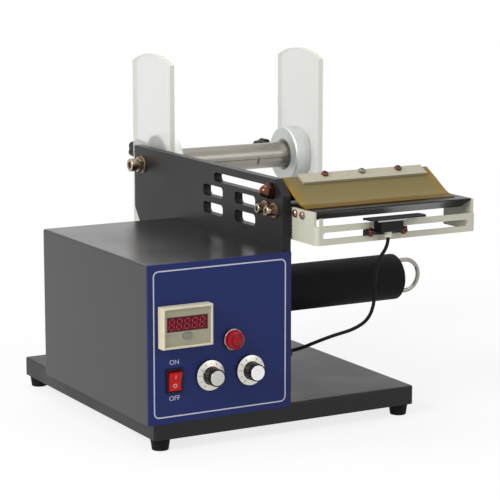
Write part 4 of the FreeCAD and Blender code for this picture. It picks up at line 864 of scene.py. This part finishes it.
class DISPENSER_OT_dials(bpy.types.Operator):
    """Finishes the two dials and prints the figures and marks on their skirts"""
    bl_idname = "dispenser.dials"
    bl_label = "Dials"

    def execute(self, context):
        edges = context.scene.dispenser_edges
        scale = context.scene.dispenser_dials
        for side in ("left", "right"):
            knob = dress(side + "_dial_knob", "black_phenolic", edges.dial)
            axis = centre_of(side + "_dial_knob")
            paint_faces(knob, "turned_skirt_" + side, lambda f: self.on_skirt(f, axis))
            dress(side + "_dial_cap", "spun_cap_" + side, edges.cap)
            self.print_scale(side, axis, scale)
        repaint("dial_pots", "grey_enamel")
        return {"FINISHED"}

    def on_skirt(self, face, axis):
        """True on the skirt's rim and cone, from its back edge to the foot of the body."""
        away = math.hypot(face.center.x - axis.x, face.center.z - axis.z)
        before = FRONT - face.center.y
        return away > SKIRT_FOOT + 0.05 * MM and SKIRT_BACK < before < SKIRT_TOP

    def print_scale(self, side, axis, scale):
        """Figures and ticks on the skirt's cone, read from outside it."""
        rise = SKIRT_RISE / (SKIRT_RIM - SKIRT_FOOT)
        lean = math.pi / 2.0 - math.atan(rise)
        pieces = []
        for k in range(scale.marks):
            turn = -scale.sweep / 2.0 + scale.sweep * k / (scale.marks - 1)
            for words, radius, height in ((str(k), 10.3 * MM, scale.figure), ("I", 12.1 * MM, 0.9 * MM)):
                before = SKIRT_FRONT + rise * (SKIRT_RIM - radius)
                place = (Matrix.Translation((axis.x, FRONT - before, axis.z))
                         @ Matrix.Rotation(turn, 4, "Y") @ Matrix.Translation((0.0, 0.0, radius))
                         @ Matrix.Rotation(lean, 4, "X"))
                pieces.append(letters("mark", words, height, 0.12 * MM, place))
        seat(joined(side + "_dial_scale", pieces), side + "_dial", "black_ink")


class DISPENSER_OT_mandrel(bpy.types.Operator):
    """Finishes the roll tube with its bolt and nut"""
    bl_idname = "dispenser.mandrel"
    bl_label = "Roll tube"

    def execute(self, context):
        edges = context.scene.dispenser_edges
        dress("mandrel_tube", "satin_tube", edges.turned)
        dress("mandrel_bolt", "pale_brass", edges.fastener)
        nut = dress("mandrel_nut", "chromated_copper", edges.nut)
        # Painted highlight: the nut's half towards -X, where the key lamp falls, gets pale brass in place of
        # the copper chromate
        middle = centre_of("mandrel_nut").x
        paint_faces(nut, "pale_brass", lambda f: f.center.x < middle)
        return {"FINISHED"}


class DISPENSER_OT_flanges(bpy.types.Operator):
    """Finishes both roll flanges: hubs, clear arms, screws and clamp knobs"""
    bl_idname = "dispenser.flanges"
    bl_label = "Roll flanges"

    def execute(self, context):
        edges = context.scene.dispenser_edges
        for side in ("left", "right"):
            dress(side + "_hub", "zinc_plated_hub_" + side, edges.turned)
            dress(side + "_arm", "cast_acrylic", edges.sheet)
            dress(side + "_arm_screws", "bright_zinc")
            dress(side + "_star_knob", "black_nylon", edges.knob)
        return {"FINISHED"}


class DISPENSER_OT_press(bpy.types.Operator):
    """Finishes the press bar, its stud, nut, amber sheet, clamp strip and screws"""
    bl_idname = "dispenser.press"
    bl_label = "Press bar and sheet"

    def execute(self, context):
        edges = context.scene.dispenser_edges
        dress("press_bar", "ground_bar", edges.turned)
        dress("press_stud", "bright_zinc")
        dress("press_dome_nut", "dark_copper", edges.nut)
        dress("press_sheet", "amber_urethane", edges.fastener)
        dress("press_strip", "strip_enamel", edges.sheet)
        screws = dress("press_strip_screws", "dark_copper", edges.fastener)
        low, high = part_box("press_strip_screws")
        flat = max(frame["nodes"]["press_strip"].data.polygons,
                   key=lambda f: f.area * max(f.normal.z, 0.0))
        cut_crosses(screws, lambda middle: flat.normal.copy())
        third = (high.x - low.x) / 3.0
        paint_faces(screws, "dull_zinc", lambda f: low.x + third < f.center.x < high.x - third)
        return {"FINISHED"}


class DISPENSER_OT_peel(bpy.types.Operator):
    """Finishes the peel plate, its bracket, bolts, nuts and spacers"""
    bl_idname = "dispenser.peel"
    bl_label = "Peel plate and bracket"

    def execute(self, context):
        edges = context.scene.dispenser_edges
        dress("peel_plate", "powder_coat_peel", edges.turned)
        dress("peel_bracket", "cream_enamel", edges.sheet)
        screws = dress("bracket_screws", "chromated_copper", edges.fastener)
        centre = centre_of("bracket_screws")
        cut_crosses(screws, lambda middle: Vector((math.copysign(1.0, middle.x - centre.x), 0.0, 0.0)))
        dress("peel_bolts", "pale_brass", edges.fastener)
        dress("peel_bolt_nuts", "chromated_copper", edges.fastener)
        dress("peel_spacers", "bright_zinc")
        return {"FINISHED"}


class DISPENSER_OT_sensor(bpy.types.Operator):
    """Finishes the label sensor, its leaf and screws"""
    bl_idname = "dispenser.sensor"
    bl_label = "Label sensor"

    def execute(self, context):
        edges = context.scene.dispenser_edges
        dress("sensor_bracket", "powder_coat_peel", edges.turned)
        body = dress("sensor_body", "black_abs", edges.moulded)
        low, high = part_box("sensor_body")
        # The body's lowest 4.7 mm is the cable's gland
        gland = low.z + 4.7 * MM
        paint_faces(body, "gland_nylon", lambda f: f.center.z < gland)
        screws = dress("sensor_screws", "dark_copper", edges.fastener)
        cut_crosses(screws, lambda middle: Vector((0.0, -1.0, 0.0)))
        self.lip(low.x - 4.0 * MM, low.x + 23.0 * MM, high.z + 0.5 * MM)
        return {"FINISHED"}

    def lip(self, left, right, top):
        """A bright turned-down lip on the leaf's front edge, over the sensor's face."""
        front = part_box("sensor_bracket")[0].y
        drop = 1.7 * MM
        lip = sheet_piece("leaf_lip", ((left + right) / 2.0, front + 0.55 * MM, top - drop / 2.0),
                          (right - left, drop))
        thicken(lip, 0.5 * MM)
        soften(lip, 0.12 * MM)
        seat(lip, "sensor", "sheared_leaf")


class DISPENSER_OT_cable(bpy.types.Operator):
    """Lays the sensor's cable from the sensor to its bush in the side plate"""
    bl_idname = "dispenser.cable"
    bl_label = "Sensor cable"

    def execute(self, context):
        diameter = 3.0 * MM
        # Places from the panel's left lower corner, in metres, from the sensor's gland to the bush
        route = [
            (0.2110, -0.0314, 0.1688),
            (0.2110, -0.0314, 0.1610),
            (0.2012, -0.0312, 0.1498),
            (0.1990, -0.0290, 0.1320),
            (0.2018, -0.0260, 0.1130),
            (0.1996, -0.0205, 0.0970),
            (0.1900, -0.0125, 0.0876),
            (0.1755, -0.0010, 0.0814),
            (0.1635, 0.0110, 0.0738),
            (0.1545, 0.0186, 0.0684),
            (0.1470, 0.0220, 0.0665),
        ]
        points = [Vector(p) + CORNER for p in route]
        curve = bpy.data.curves.new("sensor_lead", "CURVE")
        curve.dimensions = "3D"
        spline = curve.splines.new("NURBS")
        spline.points.add(len(points) - 1)
        for place, point in zip(spline.points, points):
            place.co = (*point, 1.0)
        spline.order_u = 3
        spline.use_endpoint_u = True
        curve.resolution_u = 10
        lead = bpy.data.objects.new("sensor_lead", curve)
        context.scene.collection.objects.link(lead)
        line = bpy.data.meshes.new_from_object(lead)
        curve.bevel_depth = diameter / 2.0
        curve.bevel_resolution = 5
        curve.use_fill_caps = True
        only(lead)
        bpy.ops.object.convert(target="MESH")
        lead = context.active_object
        lead.data.materials.clear()
        lead.data.materials.append(fetch("pvc_jacket"))
        only(lead)
        bpy.ops.object.shade_smooth()
        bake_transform(lead)
        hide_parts("sensor_cable")
        return {"FINISHED"}


class DISPENSER_OT_winder(bpy.types.Operator):
    """Finishes the liner winder: bush, shaft, drum, rubber sleeve and clip"""
    bl_idname = "dispenser.winder"
    bl_label = "Liner winder"

    def execute(self, context):
        edges = context.scene.dispenser_edges
        dress("winder_bush", "bright_zinc", edges.turned)
        repaint("winder_shaft", "bright_rod")
        dress("winder_drum", "turned_drum", edges.nut)
        dress("winder_sleeve", "ground_nitrile", edges.sleeve)
        dress("liner_clip", "bright_rod")
        return {"FINISHED"}


class DISPENSER_OT_inside(bpy.types.Operator):
    """Gives the pieces inside the case their finishes"""
    bl_idname = "dispenser.inside"
    bl_label = "Inside the case"

    def execute(self, context):
        for node, material in (("gearbox", "grey_enamel"), ("motor", "grey_enamel"),
                               ("control_board", "circuit_board"), ("board_standoffs", "bright_zinc"),
                               ("transformer", "varnished_laminations")):
            repaint(node, material)
        dress("gearbox_screws", "black_oxide_screw", context.scene.dispenser_edges.fastener)
        return {"FINISHED"}


class DISPENSER_OT_stage(bpy.types.Operator):
    """Sets the pale floor, the studio lamps and the camera"""
    bl_idname = "dispenser.stage"
    bl_label = "Stage"

    def execute(self, context):
        scene = context.scene
        scene.view_settings.view_transform = "Standard"
        self.floor()
        self.surroundings(scene)
        for name, place, aim, size, power in (
                ("key", (-2.2, -0.65, 1.5), (0.0, 0.0, 0.1), 1.3, 46.0),
                ("fill", (0.9, -2.1, 1.3), (0.05, 0.0, 0.1), 1.4, 6.5),
                ("top", (0.1, 0.4, 2.4), (0.0, 0.0, 0.1), 1.6, 16.0)):
            self.lamp(name, place, aim, size, power)
        self.camera(scene)
        return {"FINISHED"}

    def floor(self):
        """A pale floor just under the feet: grey near the machine, and white paper far from it."""
        bpy.ops.mesh.primitive_plane_add(size=12.0)
        ground = bpy.context.active_object
        ground.name = "studio_floor"
        ground.location.z = CAD_BOX[0][2] - 0.2 * MM
        material = bpy.data.materials.new("pale_floor")
        material.use_nodes = True
        tree = material.node_tree
        tree.nodes.clear()
        lit = add_node(tree, "ShaderNodeBsdfDiffuse", {"Color": linear("#d9d9d7")})
        plain = add_node(tree, "ShaderNodeBsdfDiffuse", {"Color": linear("#7a7a79")})
        white = add_node(tree, "ShaderNodeEmission", {"Color": linear("#ffffff"), "Strength": 0.8})
        bright = add_node(tree, "ShaderNodeAddShader", {0: plain.outputs[0], 1: white.outputs[0]})
        place = add_node(tree, "ShaderNodeTexCoord").outputs["Object"]
        away = add_node(tree, "ShaderNodeVectorMath", {"operation": "LENGTH", 0: place}).outputs["Value"]
        far = add_node(tree, "ShaderNodeMapRange", {"Value": away, "From Min": 0.28, "From Max": 0.75})
        paper = add_node(tree, "ShaderNodeEmission", {"Color": linear("#ffffff"), "Strength": 1.0})
        shown = add_node(tree, "ShaderNodeMixShader",
                         {0: far.outputs["Result"], 1: bright.outputs[0], 2: paper.outputs[0]})
        mixed = add_node(tree, "ShaderNodeMixShader",
                         {0: self.seen(tree), 1: lit.outputs[0], 2: shown.outputs[0]})
        add_node(tree, "ShaderNodeOutputMaterial", {"Surface": mixed.outputs[0]})
        ground.data.materials.append(material)

    def seen(self, tree):
        """One for rays from the camera, from glossy metal and through glass."""
        path = add_node(tree, "ShaderNodeLightPath").outputs
        either = add_node(tree, "ShaderNodeMath", {"operation": "MAXIMUM", 0: path["Is Camera Ray"],
                                                   1: path["Is Transmission Ray"]})
        return add_node(tree, "ShaderNodeMath", {"operation": "MAXIMUM", 0: either.outputs[0],
                                                 1: path["Is Glossy Ray"]}).outputs[0]

    def surroundings(self, scene):
        """White air all round, which lights the machine less than it shows itself."""
        world = bpy.data.worlds.new("studio")
        scene.world = world
        world.use_nodes = True
        tree = world.node_tree
        tree.nodes.clear()
        strength = add_node(tree, "ShaderNodeMapRange",
                            {"Value": self.seen(tree), "To Min": 0.42, "To Max": 1.0}).outputs["Result"]
        air = add_node(tree, "ShaderNodeBackground", {"Color": linear("#ffffff"), "Strength": strength})
        add_node(tree, "ShaderNodeOutputWorld", {"Surface": air.outputs[0]})

    def lamp(self, name, place, aim, size, power):
        """A round soft lamp, size metres wide, that points at its aim."""
        data = bpy.data.lights.new(name + "_lamp", "AREA")
        data.energy = power
        data.shape = "DISK"
        data.size = size
        light = bpy.data.objects.new(name + "_lamp", data)
        bpy.context.scene.collection.objects.link(light)
        light.location = place
        light.rotation_euler = (Vector(aim) - Vector(place)).to_track_quat("-Z", "Y").to_euler()

    def camera(self, scene):
        """The camera of the photo's view."""
        studio = scene.dispenser_studio
        data = bpy.data.cameras.new("photo_camera")
        data.lens = studio.lens
        data.sensor_width = 36.0
        data.clip_end = 20.0
        camera = bpy.data.objects.new("photo_camera", data)
        scene.collection.objects.link(camera)
        camera.location = CORNER + Vector(studio.distance)
        camera.rotation_euler = (studio.tilt, 0.0, studio.heading)
        scene.camera = camera


OPERATORS = [
    DISPENSER_OT_finishes,
    DISPENSER_OT_frame,
    DISPENSER_OT_panel,
    DISPENSER_OT_counter,
    DISPENSER_OT_lamp,
    DISPENSER_OT_switch,
    DISPENSER_OT_dials,
    DISPENSER_OT_mandrel,
    DISPENSER_OT_flanges,
    DISPENSER_OT_press,
    DISPENSER_OT_peel,
    DISPENSER_OT_sensor,
    DISPENSER_OT_cable,
    DISPENSER_OT_winder,
    DISPENSER_OT_inside,
    DISPENSER_OT_stage,
]


class DISPENSER_PT_panel(bpy.types.Panel):
    """Lists the steps and the sizes that they read"""
    bl_idname = "DISPENSER_PT_panel"
    bl_label = "Label dispenser"
    bl_space_type = "VIEW_3D"
    bl_region_type = "UI"
    bl_category = "Dispenser"

    def draw(self, context):
        for operator in OPERATORS:
            self.layout.operator(operator.bl_idname)
        for name, group in SETTINGS.items():
            box = self.layout.box()
            for field in group.__annotations__:
                box.prop(getattr(context.scene, name), field)


def register():
    """Makes the settings, operators and the side panel known."""
    for group in SETTINGS.values():
        bpy.utils.register_class(group)
    for item in OPERATORS + [DISPENSER_PT_panel]:
        bpy.utils.register_class(item)
    for name, group in SETTINGS.items():
        setattr(bpy.types.Scene, name, PointerProperty(type=group))


def unregister():
    """Takes away what register made."""
    for name in SETTINGS:
        delattr(bpy.types.Scene, name)
    for item in [DISPENSER_PT_panel] + OPERATORS[::-1]:
        bpy.utils.unregister_class(item)
    for group in reversed(list(SETTINGS.values())):
        bpy.utils.unregister_class(group)


def main():
    """Runs every step in order."""
    register()
    for operator in OPERATORS:
        group, name = operator.bl_idname.split(".")
        getattr(getattr(bpy.ops, group), name)()


if __name__ == "__main__":
    main()
